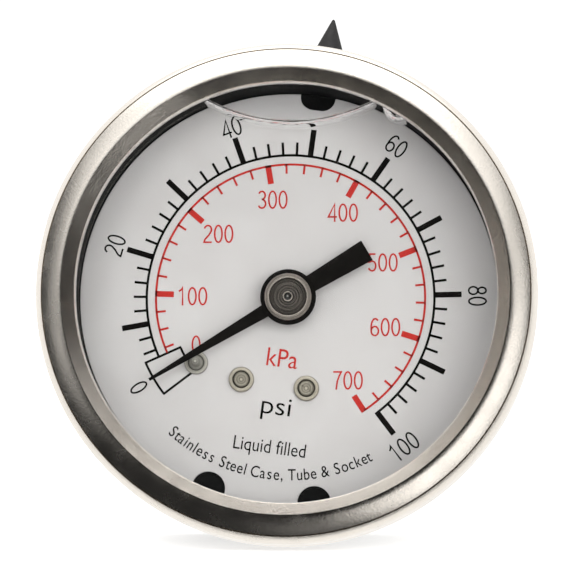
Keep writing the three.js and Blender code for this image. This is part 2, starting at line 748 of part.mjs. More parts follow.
// One machined piece: thread, wrench square, neck, flange, boss, and an arm down to the tube's root.
function addSocket() {
  const thread = new THREE.LatheGeometry([
    [0, -0.5],
    [THREAD_NECK_R, -0.5],
    [THREAD_NECK_R, 1],
    [THREAD_R[0], 1.9],
    [THREAD_R[1], THREAD_LENGTH - 0.8],
    [THREAD_R[1] - 0.8, THREAD_LENGTH],
    [0, THREAD_LENGTH],
  ].map(([radius, y]) => new THREE.Vector2(radius, y)), LARGE_ROUND / 2);
  const square = toGeometry(toManifold(stemSquare()).intersect(
    toManifold(bar(SQUARE_CORNER_R, [1, CASE_BACK_Y - 1], [0, 0], LARGE_ROUND))));
  const arm = plate(roundedOutline([
    [-4.6, 0],
    [4.6, 0],
    [4.6, -19.4],
    [-4.6, -19.4],
  ], 1), [SOCKET_FLANGE_Y[1] + 0.5, TUBE_Y - TUBE_WIDTH / 2 - 0.5]);
  const armFront = new THREE.BoxGeometry(12, 6, 17).translate(0, SOCKET_FRONT_Y - 3, -4);
  const body = joined(
    thread,
    square,
    bar(SQUARE_CORNER_R, [CASE_BACK_Y, SOCKET_FLANGE_Y[0] - 0.5], [0, 0], LARGE_ROUND),
    bar(SOCKET_FLANGE_R, SOCKET_FLANGE_Y, [0, 0], LARGE_ROUND),
    bar(8, [SOCKET_FLANGE_Y[1] + 0.5, SOCKET_FRONT_Y], [0, 0], MEDIUM_ROUND),
    cut(arm, armFront),
  );
  const socket = cut(
    body,
    bar(STEM_BORE_R, [THREAD_LENGTH + 1, -17]),
    new THREE.CylinderGeometry(1, 1, 17, 12).rotateX(Math.PI / 2).translate(0, -16, -8.5),
    sweptOval(-0.05, TUBE_ROOT_ANGLE - 3, TUBE_ROOT_ANGLE + 24),
    ...MOVEMENT_SCREWS.map((place) => bar(0.85, [-16.2, -20], place)),
    ...[-SOCKET_SCREW_X, SOCKET_SCREW_X].map((x) => bar(1.05, [-10, -13], [x, 0])),
  );
  add('socket', socket, steel);
}

function addSocketGasket() {
  const profile = [
    [SQUARE_CORNER_R + 0.3, CASE_BACK_Y - CASE_WALL - GAP],
    [9.4, CASE_BACK_Y - CASE_WALL - GAP],
    [9.4, SOCKET_FLANGE_Y[0] + GAP],
    [SQUARE_CORNER_R + 0.3, SOCKET_FLANGE_Y[0] + GAP],
  ];
  add('socket_gasket', turned(profile), black);
}

function addSocketScrews() {
  const names = ['socket_screw_left', 'socket_screw_right'];
  [-SOCKET_SCREW_X, SOCKET_SCREW_X].forEach((x, i) => {
    add(names[i], screw(1, 2, 1.3, CASE_BACK_Y + GAP, 2.9, [x, 0], 2, 1), steel);
  });
}

// A small screw with a fine hole, set inside the stem's bore to damp sudden pressure changes.
function addRestrictorScrew() {
  const y = [THREAD_LENGTH - 2, THREAD_LENGTH - 6];
  const slot = new THREE.BoxGeometry(4, 1, 0.5).translate(0, y[0], 0);
  const screwBody = cut(bar(STEM_BORE_R - 0.06, y), bar(0.3, [y[0] + 1, y[1] - 1]), slot);
  add('restrictor_screw', screwBody, brass);
}

// The rubber filler plug: a shank in the case wall, a round flange on it, and a pointed cone.
function addVentPlug() {
  const coneHalfAngle = THREE.MathUtils.degToRad(21);
  const coneFootZ = PLUG_TIP_Z - 2.5 / Math.tan(coneHalfAngle);
  const profile = [
    [0, CASE_R - 1.4],
    [PLUG_HOLE_R - 0.3, CASE_R - 1.4],
    [PLUG_HOLE_R - 0.1, CASE_R - 1.1],
    [PLUG_HOLE_R - 0.1, CASE_R - 0.2],
    [4.4, CASE_R - 0.2],
    [4.4, CASE_R + 0.75],
    [4.1, CASE_R + 1.05],
    [2.6, CASE_R + 1.15],
    [2.5, coneFootZ],
    [0.22, PLUG_TIP_Z - 0.25],
    [0, PLUG_TIP_Z],
  ].map(([radius, z]) => new THREE.Vector2(radius, z));
  const whole = new THREE.LatheGeometry(profile, MEDIUM_ROUND).rotateX(Math.PI / 2).translate(0, PLUG_Y, 0);
  const caseBarrel = bar(CASE_R + GAP, [PLUG_Y + 8, PLUG_Y - 8], [0, 0], LARGE_ROUND);
  const flangeSeat = cut(caseBarrel, ventHole(PLUG_HOLE_R - 0.1));
  add('vent_plug', cut(whole, flangeSeat), { color: 0x1c1c1e, roughness: 0.7, metalness: 0 });
}

// ---------------------------------------------------------------- assembly

addCase();
addBezel();
addWindow();
addWindowGasket();
addDial();
addDialScrews();
addStopPin();
addPointer();
addPointerBush();
addPinionArbor();
addSectorGear();
addSectorShaft();
addMovementPlates();
addPillars();
addDialPosts();
addMovementScrews();
addHairspring();
addHairspringFittings();
addLink();
addLinkPins();
addBourdonTube();
addTubeTip();
addSocket();
addSocketGasket();
addSocketScrews();
addRestrictorScrew();
addVentPlug();

const group = new THREE.Group();
group.add(...root);

export default group;
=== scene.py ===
"""The looks of a liquid-filled dial pressure gauge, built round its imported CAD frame."""

import math

import bmesh
import bpy
from mathutils import Matrix, Vector


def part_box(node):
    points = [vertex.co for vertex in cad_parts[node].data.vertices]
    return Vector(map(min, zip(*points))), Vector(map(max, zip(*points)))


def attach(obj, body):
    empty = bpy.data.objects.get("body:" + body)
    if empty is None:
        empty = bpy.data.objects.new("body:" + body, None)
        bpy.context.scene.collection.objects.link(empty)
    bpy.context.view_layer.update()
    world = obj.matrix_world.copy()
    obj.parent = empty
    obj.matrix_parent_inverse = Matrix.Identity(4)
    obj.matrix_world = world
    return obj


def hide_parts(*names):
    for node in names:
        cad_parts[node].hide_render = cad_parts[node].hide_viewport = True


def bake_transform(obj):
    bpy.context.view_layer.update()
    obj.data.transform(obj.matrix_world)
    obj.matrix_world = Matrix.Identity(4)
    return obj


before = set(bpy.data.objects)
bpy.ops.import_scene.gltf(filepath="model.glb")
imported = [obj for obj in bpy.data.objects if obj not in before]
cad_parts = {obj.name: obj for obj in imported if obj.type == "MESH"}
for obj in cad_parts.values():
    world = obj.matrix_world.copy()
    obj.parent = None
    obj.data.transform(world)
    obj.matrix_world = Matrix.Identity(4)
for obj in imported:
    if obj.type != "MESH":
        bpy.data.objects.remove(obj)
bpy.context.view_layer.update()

scene = bpy.context.scene
MM = 0.001


# ---- sizes, in millimetres

def span(node):
    """A CAD node's lowest and highest corners."""
    low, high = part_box(node)
    return low / MM, high / MM


def middle(node):
    """The x and z of the middle of a CAD node."""
    low, high = span(node)
    return ((low.x + high.x) / 2, (low.z + high.z) / 2)


BEZEL_R = span("bezel")[1].x
BEZEL_FRONT = span("bezel")[0].y
BEZEL_CREST_R = 24.42
CRIMP_Y = span("bezel")[1].y
CASE_R = 25.0
CASE_BACK = span("case")[1].y
CASE_WALL = 0.8
FLANGE_R = 26.3
FLANGE_Y = span("case")[0].y
WINDOW_R = span("window")[1].x
WINDOW_REAR = span("window")[1].y
WINDOW_FRONT = span("window")[0].y
GASKET_REAR = span("window_gasket")[1].y
GASKET_SLEEVE_R = 24.1

DIAL_R = 23.1
DIAL_FACE = span("dial")[0].y
DIAL_REAR = span("dial")[1].y
NOTCH_R = 1.86
NOTCH_CENTRE_R = 22.75
NOTCH_ANGLE = 15
TOP_NOTCH_HALF_WIDTH = 1.95
TOP_NOTCH_FLOOR_R = 21.45
PRINT_HEIGHT = 0.02
PRINT_SHIFT = (0.17, 0.07)
ZERO_BOX_END = -121.9
CAPITAL_HEIGHT = 0.72

POINTER_ANGLE = -128.6
POINTER_REAR = -30.3
POINTER_FACE = -30.6
POINTER_TIP_R = 17.8
POINTER_TAIL_R = 10.1
POINTER_BOSS_R = 3.07
BUSH_R = 2.6

PLUG_Y = -20.0
PLUG_TIP_Z = span("vent_plug")[1].z
PLUG_HOLE_R = 2.1
GAP = 0.03

# How far the gauge is turned clockwise, seen from the front, in degrees.
LEAN = 7.7

# How glossy what lies in the liquid looks: there is next to no step in refraction.
IMMERSED_GLOSS = 0.03

ROUND = 288


# ---- mesh helpers

def polar(radius, degrees):
    """A place on the dial, at an angle clockwise from 12 o'clock."""
    angle = math.radians(degrees)
    return (radius * math.sin(angle), radius * math.cos(angle))


def directions(degrees):
    """Unit vectors along an angle on the dial, and across it."""
    return Vector(polar(1, degrees)), Vector(polar(1, degrees + 90))


def linked(name, data):
    """A new object in the scene."""
    obj = bpy.data.objects.new(name, data)
    scene.collection.objects.link(obj)
    return obj


def smooth(mesh, crease):
    """Shades a mesh smooth up to a crease angle in degrees."""
    mesh.shade_smooth()
    mesh.set_sharp_from_angle(angle=math.radians(crease))


def from_points(name, points, faces, crease=30):
    """An object from points in millimetres, with its double points joined."""
    mesh = bpy.data.meshes.new(name)
    mesh.from_pydata([[value * MM for value in point] for point in points], [], faces)
    tidy = bmesh.new()
    tidy.from_mesh(mesh)
    bmesh.ops.remove_doubles(tidy, verts=tidy.verts, dist=1e-7)
    bmesh.ops.recalc_face_normals(tidy, faces=tidy.faces)
    tidy.to_mesh(mesh)
    tidy.free()
    smooth(mesh, crease)
    return linked(name, mesh)


def eased(profile, radius):
    """A closed profile whose corners are rounded off, each by up to the given length."""
    steps = 3
    corners = [Vector(point) for point in profile]
    points = []
    for i, corner in enumerate(corners):
        before = corners[i - 1] - corner
        after = corners[(i + 1) % len(corners)] - corner
        trim = min(radius, 0.45 * before.length, 0.45 * after.length)
        start = corner + before.normalized() * trim
        end = corner + after.normalized() * trim
        for step in range(steps + 1):
            share = step / steps
            first = start.lerp(corner, share)
            second = corner.lerp(end, share)
            points.append(tuple(first.lerp(second, share)))
    return points


def skin(rings, count, wrap=False):
    """Faces between each ring of points and the next, and from the last to the first if they wrap."""
    faces = []
    for ring in range(rings if wrap else rings - 1):
        here = ring * count
        there = ((ring + 1) % rings) * count
        for i in range(count):
            j = (i + 1) % count
            faces.append((here + i, here + j, there + j, there + i))
    return faces


def turned(name, profile, place=(0, 0), steps=ROUND, crease=30):
    """A closed (radius, y) profile turned about a line along Y through a place on the dial."""
    points = []
    for ring in range(steps):
        x, z = polar(1, 360 * ring / steps)
        points += [(place[0] + r * x, y, place[1] + r * z) for r, y in profile]
    return from_points(name, points, skin(steps, len(profile), wrap=True), crease)


def disc(name, radius, rear, front, edge):
    """A disc about the gauge's axis, with bevelled edges."""
    profile = [
        (0, rear), (radius - edge, rear), (radius, rear - edge), (radius, front + edge),
        (radius - edge, front), (0, front),
    ]
    return turned(name, profile)


def upright(name, profile, steps=64):
    """A closed (radius, z) profile turned about the vent plug's upright line."""
    obj = turned(name, profile, steps=steps)
    obj.data.transform(Matrix.Translation((0, PLUG_Y * MM, 0)) @ Matrix.Rotation(math.pi / 2, 4, "X"))
    return obj


def upright_rod(name, radius, low, high, steps=64):
    return upright(name, [(0, low), (radius, low), (radius, high), (0, high)], steps)


def slab(name, outline, rear, front):
    """A flat plate in the dial's plane, from an outline of (x, z) points."""
    count = len(outline)
    points = [(x, y, z) for y in (rear, front) for x, z in outline]
    ends = [tuple(range(count)), tuple(range(count, 2 * count))]
    return from_points(name, points, ends + skin(2, count))


def rod(name, radius, y_range, place=(0, 0)):
    return slab(name, ring_of(radius, place, 72), *y_range)


def block(name, width, height, y_range, centre_z=0):
    """A box about x = 0."""
    low = centre_z - height / 2
    high = centre_z + height / 2
    half = width / 2
    return slab(name, [(-half, low), (half, low), (half, high), (-half, high)], *y_range)


def cross_recess(place, heading, half_length, half_width, y_range):
    """Two crossed bars, to cut from the head of a screw."""
    bars = []
    for turn in (heading, heading + 90):
        along, across = directions(turn)
        outline = [tuple(Vector(place) + s * half_length * along + t * half_width * across)
                   for s, t in ((-1, -1), (-1, 1), (1, 1), (1, -1))]
        bars.append(slab("recess", outline, *y_range))
    return bars


def ring_of(radius, centre=(0, 0), steps=48):
    """A circle of (x, z) points."""
    spokes = [polar(radius, 360 * i / steps) for i in range(steps)]
    return [(centre[0] + x, centre[1] + z) for x, z in spokes]


def final_mesh(obj):
    """The object's mesh with its modifiers applied."""
    depsgraph = bpy.context.evaluated_depsgraph_get()
    return bpy.data.meshes.new_from_object(obj.evaluated_get(depsgraph))


def apply_modifiers(obj, crease=30):
    mesh = final_mesh(obj)
    obj.modifiers.clear()
    obj.data = mesh
    smooth(mesh, crease)


def combine(obj, operation, tools, crease=30):
    """Adds or cuts closed tool objects, which are used up."""
    for tool in tools:
        modifier = obj.modifiers.new(operation, "BOOLEAN")
        modifier.operation = operation
        modifier.object = tool
        modifier.solver = "EXACT"
    apply_modifiers(obj, crease)
    for tool in tools:
        bpy.data.objects.remove(tool)


def chamfer(obj, width):
    """Rounds an object's sharp edges by a width in millimetres."""
    modifier = obj.modifiers.new("edges", "BEVEL")
    modifier.width = width * MM
    modifier.segments = 2
    modifier.limit_method = "ANGLE"
    modifier.angle_limit = math.radians(40)
    modifier.use_clamp_overlap = True
    apply_modifiers(obj)


def merged(name, objects):
    """One object made of several, which are used up."""
    whole = bmesh.new()
    for obj in objects:
        mesh = final_mesh(obj)
        mesh.transform(obj.matrix_world)
        whole.from_mesh(mesh)
        bpy.data.objects.remove(obj)
    mesh = bpy.data.meshes.new(name)
    whole.to_mesh(mesh)
    whole.free()
    return linked(name, mesh)


def piece(obj, body, slot, material, *nodes):
    """Gives a piece its body and its material, and hides the CAD nodes it stands for; its record slot is
    not used.
    """
    obj.data.materials.clear()
    obj.data.materials.append(material)
    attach(obj, body)
    if nodes:
        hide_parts(*nodes)


# ---- material helpers

class Tree:
    """Adds shader nodes to a node tree."""

    def __init__(self, tree):
        self.tree = tree

    def feed(self, target, value):
        """Gives an input a link from an output, or a plain value."""
        if isinstance(value, bpy.types.NodeSocket):
            self.tree.links.new(value, target)
        else:
            target.default_value = value

    def add(self, kind, *values, operation=None, output=0, **named):
        """A new node's output; its inputs are fed by their order and by their names."""
        node = self.tree.nodes.new(kind)
        if operation:
            node.operation = operation
        for target, value in zip(node.inputs, values):
            self.feed(target, value)
        for name, value in named.items():
            self.feed(node.inputs[name], value)
        return node.outputs[output]

    def math(self, operation, *values):
        return self.add("ShaderNodeMath", *values, operation=operation)

    def remap(self, value, low, high, to_low, to_high):
        return self.add("ShaderNodeMapRange", value, low, high, to_low, to_high)


class Nodes(Tree):
    """Builds one procedural material, with coordinates in millimetres."""

    def __init__(self, name):
        self.material = bpy.data.materials.new(name)
        self.material.use_nodes = True
        super().__init__(self.material.node_tree)
        self.shader = self.tree.nodes["Principled BSDF"]
        place = self.add("ShaderNodeTexCoord", output="Object")
        self.place = self.add("ShaderNodeMapping", Vector=place, Scale=(1 / MM, 1 / MM, 1 / MM))

    def set(self, **values):
        for name, value in values.items():
            self.shader.inputs[name.replace("_", " ")].default_value = value
        return self

    def noise(self, scale, detail=3, roughness=0.6):
        return self.add("ShaderNodeTexNoise", Vector=self.place, Scale=scale, Detail=detail,
                        Roughness=roughness)

    def distance(self, centre=(0, 0)):
        """The distance from a line along Y through a place on the dial."""
        kind = "ShaderNodeVectorMath"
        shift = self.add(kind, self.place, (centre[0], 0, centre[1]), operation="SUBTRACT")
        flat = self.add(kind, shift, (1, 0, 1), operation="MULTIPLY")
        return self.add(kind, flat, operation="LENGTH", output="Value")

    def ramp(self, value, *stops):
        colour = self.add("ShaderNodeValToRGB", value)
        elements = colour.node.color_ramp.elements
        while len(elements) < len(stops):
            elements.new(0.5)
        for element, (position, tone) in zip(elements, stops):
            element.position = position
            element.color = (*tone, 1)
        return colour

    def colour(self, output):
        self.feed(self.shader.inputs["Base Color"], output)

    def roughness(self, output):
        self.feed(self.shader.inputs["Roughness"], output)

    def bump(self, height, distance):
        """Adds a bump, whose distance is in millimetres, over any bump already there."""
        inputs = {"Strength": 1.0, "Distance": distance * MM, "Height": height}
        normal = self.shader.inputs["Normal"]
        if normal.links:
            inputs["Normal"] = normal.links[0].from_socket
        self.feed(normal, self.add("ShaderNodeBump", **inputs))


def satin_steel(name, tone, rough, grain=0.004, warm=0.02, smooth_within=None):
    """Fine blasted or satin stainless steel: a soft mottled grain and a little smudging.

    Within a radius, if one is given, it is turned smoother."""
    look = Nodes(name).set(Metallic=1.0)
    fine = look.noise(7, detail=6, roughness=0.8)
    smudge = look.noise(0.35, detail=4)
    dark = (tone * 0.86, tone * (0.86 - warm / 2), tone * (0.84 - warm))
    light = (tone * 1.06, tone * (1.06 - warm / 2), tone * (1.04 - warm))
    look.colour(look.ramp(fine, (0.32, dark), (0.7, light)))
    roughness = look.remap(smudge, 0.3, 0.7, rough - 0.05, rough + 0.06)
    mottle = look.noise(3.4, detail=3)
    if smooth_within:
        outside = look.remap(look.distance(), smooth_within, smooth_within + 0.2, 0.6, 1)
        roughness = look.math("MULTIPLY", roughness, outside)
        fine = look.math("MULTIPLY", fine, outside)
        mottle = look.math("MULTIPLY", mottle, outside)
    look.roughness(roughness)
    look.bump(fine, grain)
    look.bump(mottle, grain * 1.6)
    return look.material


def turned_metal(name, dark, light, rough):
    """Metal with the fine rings that a lathe tool leaves."""
    pitch = 0.16
    depth = 0.006
    look = Nodes(name).set(Metallic=1.0)
    rings = look.math("SINE", look.math("MULTIPLY", look.distance(), 2 * math.pi / pitch))
    speckle = look.noise(6, detail=5, roughness=0.75)
    look.colour(look.ramp(speckle, (0.35, dark), (0.68, light)))
    look.roughness(look.remap(speckle, 0.3, 0.7, rough - 0.08, rough + 0.1))
    look.bump(rings, depth)
    look.bump(speckle, depth)
    return look.material


def metal_with_painted_glints(name, centre, radius, glint_and_shade_tones, tint, rough):
    """Dull turned metal whose colour carries painted rings of highlight and shade, given as (share of the
    radius, tone), with its fine tool rings as a bump.
    """
    fine_rings = 7
    look = Nodes(name).set(Metallic=0.6, Specular_IOR_Level=0.3)
    out = look.math("DIVIDE", look.distance(centre), radius)
    speckle = look.noise(5, detail=6, roughness=0.8)
    wander = look.math("ADD", out, look.remap(speckle, 0.3, 0.7, -0.02, 0.02))
    stops = [(share, tuple(tone * part for part in tint)) for share, tone in glint_and_shade_tones]
    # The ramp paints the highlight and shade rings into the base colour.
    look.colour(look.ramp(wander, *stops))
    look.roughness(look.remap(speckle, 0.3, 0.7, rough - 0.08, rough + 0.1))
    look.bump(look.math("SINE", look.math("MULTIPLY", out, 2 * math.pi * fine_rings)), 0.012)
    look.bump(speckle, 0.02)
    return look.material


def rubber(name, rough, gloss):
    """Black rubber with a little dust."""
    black = (0.006, 0.006, 0.006)
    dusty = (0.0114, 0.0114, 0.012)
    look = Nodes(name).set(Specular_IOR_Level=gloss)
    dust = look.noise(5, detail=4)
    cloud = look.noise(0.8, detail=3)
    look.colour(look.ramp(dust, (0.3, black), (0.75, dusty)))
    look.roughness(look.remap(cloud, 0.3, 0.7, rough - 0.08, rough + 0.1))
    look.bump(look.noise(11, detail=3), 0.01)
    return look.material


def dial_paint():
    """Semi-matte white enamel with a very light orange peel."""
    look = Nodes("dial_paint").set(Specular_IOR_Level=IMMERSED_GLOSS)
    patches = look.noise(0.18, detail=3)
    look.colour(look.ramp(patches, (0.3, (0.70, 0.66, 0.665)), (0.7, (0.74, 0.705, 0.712))))
    look.roughness(look.remap(look.noise(2.5), 0.3, 0.7, 0.38, 0.48))
    look.bump(look.noise(3.2, detail=2), 0.003)
    return look.material


def ink(name, dark, light):
    """Screen-printed ink, slightly uneven."""
    look = Nodes(name).set(Specular_IOR_Level=IMMERSED_GLOSS)
    look.colour(look.ramp(look.noise(6, detail=4), (0.3, dark), (0.7, light)))
    look.roughness(look.remap(look.noise(3), 0.3, 0.7, 0.4, 0.53))
    look.bump(look.noise(14, detail=2), 0.002)
    return look.material


def pointer_paint():
    """Matte black paint."""
    dark = (0.004, 0.0034, 0.003)
    light = (0.010, 0.0088, 0.008)
    look = Nodes("pointer_paint").set(Specular_IOR_Level=IMMERSED_GLOSS)
    look.colour(look.ramp(look.noise(7, detail=4), (0.3, dark), (0.75, light)))
    look.roughness(look.remap(look.noise(1.5), 0.3, 0.7, 0.42, 0.56))
    look.bump(look.noise(16, detail=2), 0.003)
    return look.material


def clear(name, ior, tint):
    """Clear glass or liquid, which lets shadow rays straight through."""
    look = Nodes(name)
    look.set(Base_Color=(*tint, 1), Roughness=0.0, IOR=ior, Transmission_Weight=1.0)
    in_shadow = look.add("ShaderNodeLightPath", output="Is Shadow Ray")
    through = look.add("ShaderNodeBsdfTransparent", (*tint, 1))
    mix = look.add("ShaderNodeMixShader", in_shadow, look.shader.outputs["BSDF"], through)
    look.feed(look.tree.nodes["Material Output"].inputs["Surface"], mix)
    return look.material


# ---- materials

# Painted highlight and shade rings of the turned heads, as (share of the radius, tone): bright glints on
# rims and edges, and dark shade in grooves, holes and recesses, over the metal's own tone.
HUB_GLINT_AND_SHADE_TONES = (
    (0.155, 0.05), (0.165, 0.6), (0.195, 0.6), (0.215, 0.05), (0.26, 0.08), (0.30, 0.2),
    (0.34, 0.07), (0.42, 0.2), (0.46, 0.07), (0.56, 0.15), (0.61, 0.06), (0.72, 0.09),
    (0.79, 0.04), (0.82, 0.62), (0.845, 0.27), (0.93, 0.3), (0.97, 0.5), (1, 0.2),
)
# The arbor's end: a painted glint on its tip and painted shade in the ring round it.
ARBOR_GLINT_AND_SHADE_TONES = ((0, 0.45), (0.04, 0.35), (0.07, 0.03), (0.19, 0.03), (0.24, 0.5), (1, 0.55))
# The screw and pin heads: painted shade in the groove and painted glints on the rims beside it.
HEAD_GLINT_AND_SHADE_TONES = (
    (0, 0.8), (0.09, 0.62), (0.15, 0.22), (0.24, 0.5), (0.33, 0.3), (0.45, 0.5), (0.56, 0.36),
    (0.63, 0.1), (0.68, 0.12), (0.73, 0.7), (0.8, 0.6), (0.9, 0.78), (1, 0.3),
)
BEZEL_STEEL = satin_steel("bezel_satin_steel", 0.85, 0.24, 0.01, 0.1, BEZEL_CREST_R)
CASE_STEEL = satin_steel("case_satin_steel", 0.72, 0.30)
SOCKET_STEEL = satin_steel("socket_milled_steel", 0.66, 0.32)
TUBE_STEEL = satin_steel("tube_drawn_steel", 0.68, 0.28)
TURNED_STEEL = turned_metal("turned_steel", (0.42, 0.40, 0.38), (0.68, 0.66, 0.63), 0.3)
BRASS = turned_metal("machined_brass", (0.52, 0.38, 0.16), (0.80, 0.64, 0.32), 0.32)
BRONZE = turned_metal("spring_bronze", (0.50, 0.29, 0.14), (0.74, 0.49, 0.28), 0.3)
# The bush's and the arbor's colour rings are painted highlights and painted shade.
BUSH_STEEL = metal_with_painted_glints("bush_turned_steel", (0, 0), BUSH_R, HUB_GLINT_AND_SHADE_TONES, (1, 0.88, 0.79), 0.34)
ARBOR_STEEL = metal_with_painted_glints("arbor_turned_steel", (0, 0), 2, ARBOR_GLINT_AND_SHADE_TONES, (1, 0.97, 0.94), 0.3)
GASKET_RUBBER = rubber("gasket_rubber", 0.6, IMMERSED_GLOSS)
PLUG_RUBBER = rubber("plug_rubber", 0.7, 0.5)
DIAL_PAINT = dial_paint()
BLACK_INK = ink("black_ink", (0.003, 0.0025, 0.0022), (0.008, 0.007, 0.006))
RED_INK = ink("red_ink", (0.52, 0.028, 0.026), (0.68, 0.055, 0.045))
POINTER_PAINT = pointer_paint()
WINDOW_GLASS = clear("window_glass", 1.5, (0.97, 0.985, 0.98))
LIQUID = clear("clear_liquid", 1.47, (0.99, 0.985, 0.975))


# ---- case and front

def face_profile():
    """The bezel's face from its shoulder in: a crowned band, rounded off at its crest, then a cone."""
    shoulder_r = 26.6
    round_r = 25.1
    foot_r = 23.1
    cone_slope = math.tan(math.radians(46))
    stretches = [(shoulder_r, round_r, 40, 26, 12), (round_r, BEZEL_CREST_R, 26, 3, 10)]
    points = [(shoulder_r, 0.0)]
    for start_r, end_r, start_tilt, end_tilt, steps in stretches:
        width = (start_r - end_r) / steps
        for i in range(steps):
            tilt = start_tilt + (end_tilt - start_tilt) * (i + 0.5) / steps
            r, y = points[-1]
            points.append((r - width, y - width * math.tan(math.radians(tilt))))
    crest = points[-1][1]
    for share in (0.1, 0.5, 0.93, 1):
        inward = share * (BEZEL_CREST_R - foot_r)
        points.append((BEZEL_CREST_R - inward, crest + inward * cone_slope))
    return [(r, y - crest + BEZEL_FRONT) for r, y in points]


def arc(centre, radius, start, end, steps):
    """Points of a profile arc; angles in degrees from outward (+r) towards the front (-y)."""
    angles = [math.radians(start + (end - start) * i / steps) for i in range(steps + 1)]
    return [(centre[0] + radius * math.cos(a), centre[1] - radius * math.sin(a)) for a in angles]


def make_bezel():
    """A rolled ring: crimped skirt that rounds in to a groove, crowned band, inner cone and lip."""
    skirt_r = 3.5
    skirt_reach = 38
    crimp_r = 0.4
    crimp_wall = 0.6
    grip_r = 25.4
    flange_room_r = 26.85
    face = face_profile()
    shoulder = face[0]
    foot = face[-1]
    rim_front = shoulder[1] + 0.12
    skirt = (BEZEL_R - skirt_r, rim_front + skirt_r * math.sin(math.radians(skirt_reach)))
    groove = (shoulder[0] + 0.05, rim_front + 0.25)
    lip_y = WINDOW_FRONT - GAP
    outside = [
        (grip_r, CRIMP_Y), (27.1, CRIMP_Y),
        *arc((BEZEL_R - crimp_r, CRIMP_Y - crimp_r), crimp_r, -60, 0, 5),
        *arc(skirt, skirt_r, 0, skirt_reach, 10),
        groove, *face, (foot[0] - 0.06, foot[1] + 0.12), (22.98, lip_y - 0.2), (23.06, lip_y),
    ]
    inside = [
        (23.5, lip_y), (23.7, BEZEL_FRONT + 1.6), (24.6, BEZEL_FRONT + 0.8),
        (25.3, BEZEL_FRONT + 0.95), (26.2, BEZEL_FRONT + 2), (flange_room_r, BEZEL_FRONT + 2.4),
        (flange_room_r, CRIMP_Y - crimp_wall), (grip_r, CRIMP_Y - crimp_wall),
    ]
    obj = turned("bezel_ring", outside + inside, steps=2 * ROUND)
    piece(obj, "housing", "bezel_steel", BEZEL_STEEL, "bezel")


def make_case():
    """The drawn cup, with a round rear corner and a front flange under the bezel."""
    hole_r = 8.3
    inner = CASE_R - CASE_WALL
    inside_y = CASE_BACK - CASE_WALL
    corner = 2.5
    rear = arc((CASE_R - corner, CASE_BACK - corner), corner, -90, 0, 10)
    inner_corner = corner - CASE_WALL
    lining = arc((inner - inner_corner, inside_y - inner_corner), inner_corner, 0, -90, 8)
    profile = [
        (hole_r, inside_y), (hole_r, CASE_BACK - 0.1), (hole_r + 0.1, CASE_BACK), *rear,
        (CASE_R, FLANGE_Y + CASE_WALL + 0.3), (CASE_R + 0.1, FLANGE_Y + CASE_WALL + 0.1),
        (CASE_R + 0.3, FLANGE_Y + CASE_WALL), (FLANGE_R - 0.1, FLANGE_Y + CASE_WALL),
        (FLANGE_R, FLANGE_Y + CASE_WALL - 0.1), (FLANGE_R, FLANGE_Y + 0.1),
        (FLANGE_R - 0.1, FLANGE_Y), (inner + 0.3, FLANGE_Y), (inner, FLANGE_Y + 0.3), *lining,
    ]
    obj = turned("case_cup", profile)
    combine(obj, "DIFFERENCE", [upright_rod("vent_hole", PLUG_HOLE_R, CASE_R - 3, CASE_R + 3)])
    piece(obj, "housing", "case_steel", CASE_STEEL, "case")


def make_window():
    obj = disc("window_pane", WINDOW_R, WINDOW_REAR, WINDOW_FRONT, 0.25)
    piece(obj, "housing", "window_glass", WINDOW_GLASS, "window")


def make_gasket():
    """The black ring round the dial: flat seat, sleeve and a ledge behind the dial's edge."""
    wall_r = DIAL_R + 0.15
    ledge_r = 20.3
    profile = [
        (ledge_r, GASKET_REAR), (GASKET_SLEEVE_R, GASKET_REAR),
        (GASKET_SLEEVE_R, FLANGE_Y - GAP), (WINDOW_R - 0.1, FLANGE_Y - GAP),
        (WINDOW_R - 0.1, WINDOW_REAR + GAP), (wall_r, WINDOW_REAR + GAP),
        (wall_r, DIAL_REAR + GAP), (ledge_r, DIAL_REAR + GAP),
    ]
    obj = turned("sealing_ring", eased(profile, 0.15))
    piece(obj, "housing", "black_rubber", GASKET_RUBBER, "window_gasket")


# ---- dial

SCREW_PLACES = {name: middle(name) for name in ("dial_screw_left", "dial_screw_right")}
PIN_PLACE = middle("stop_pin")


def make_dial():
    """The enamelled disc, with a round-bottomed notch at the top and two round ones low down."""
    obj = disc("dial_plate", DIAL_R, DIAL_REAR, DIAL_FACE, 0.06)
    reach = (DIAL_REAR + 1, DIAL_FACE - 1)
    tools = [slab("notch", ring_of(NOTCH_R, polar(NOTCH_CENTRE_R, 180 + side)), *reach)
             for side in (-NOTCH_ANGLE, NOTCH_ANGLE)]
    corner = 1.45
    half = TOP_NOTCH_HALF_WIDTH
    floor = TOP_NOTCH_FLOOR_R
    top = [(-half, floor + 4), (half, floor + 4)]
    quarter = [math.radians(10 * i) for i in range(10)]
    for a in quarter:
        top.append((half - corner + corner * math.cos(a), floor + corner - corner * math.sin(a)))
    for a in quarter:
        top.append((-half + corner - corner * math.sin(a), floor + corner - corner * math.cos(a)))
    tools.append(slab("top_notch", top, *reach))
    tools.append(slab("arbor_hole", ring_of(2), *reach))
    combine(obj, "DIFFERENCE", tools)
    piece(obj, "housing", "dial_white", DIAL_PAINT, "dial")


def strip(name, outline):
    return slab(name, outline, DIAL_FACE, DIAL_FACE - PRINT_HEIGHT)


def tick(angle, inner, outer, width):
    """A radial mark."""
    along, across = directions(angle)
    corners = [(inner, -1), (inner, 1), (outer, 1), (outer, -1)]
    return strip("tick", [tuple(r * along + side * width / 2 * across) for r, side in corners])


def band(start, end, radius, width, steps=160):
    """A thin printed arc."""
    angles = [start + (end - start) * i / steps for i in range(steps + 1)]
    outer = [polar(radius + width / 2, a) for a in angles]
    inner = [polar(radius - width / 2, a) for a in reversed(angles)]
    return strip("arc", outer + inner)


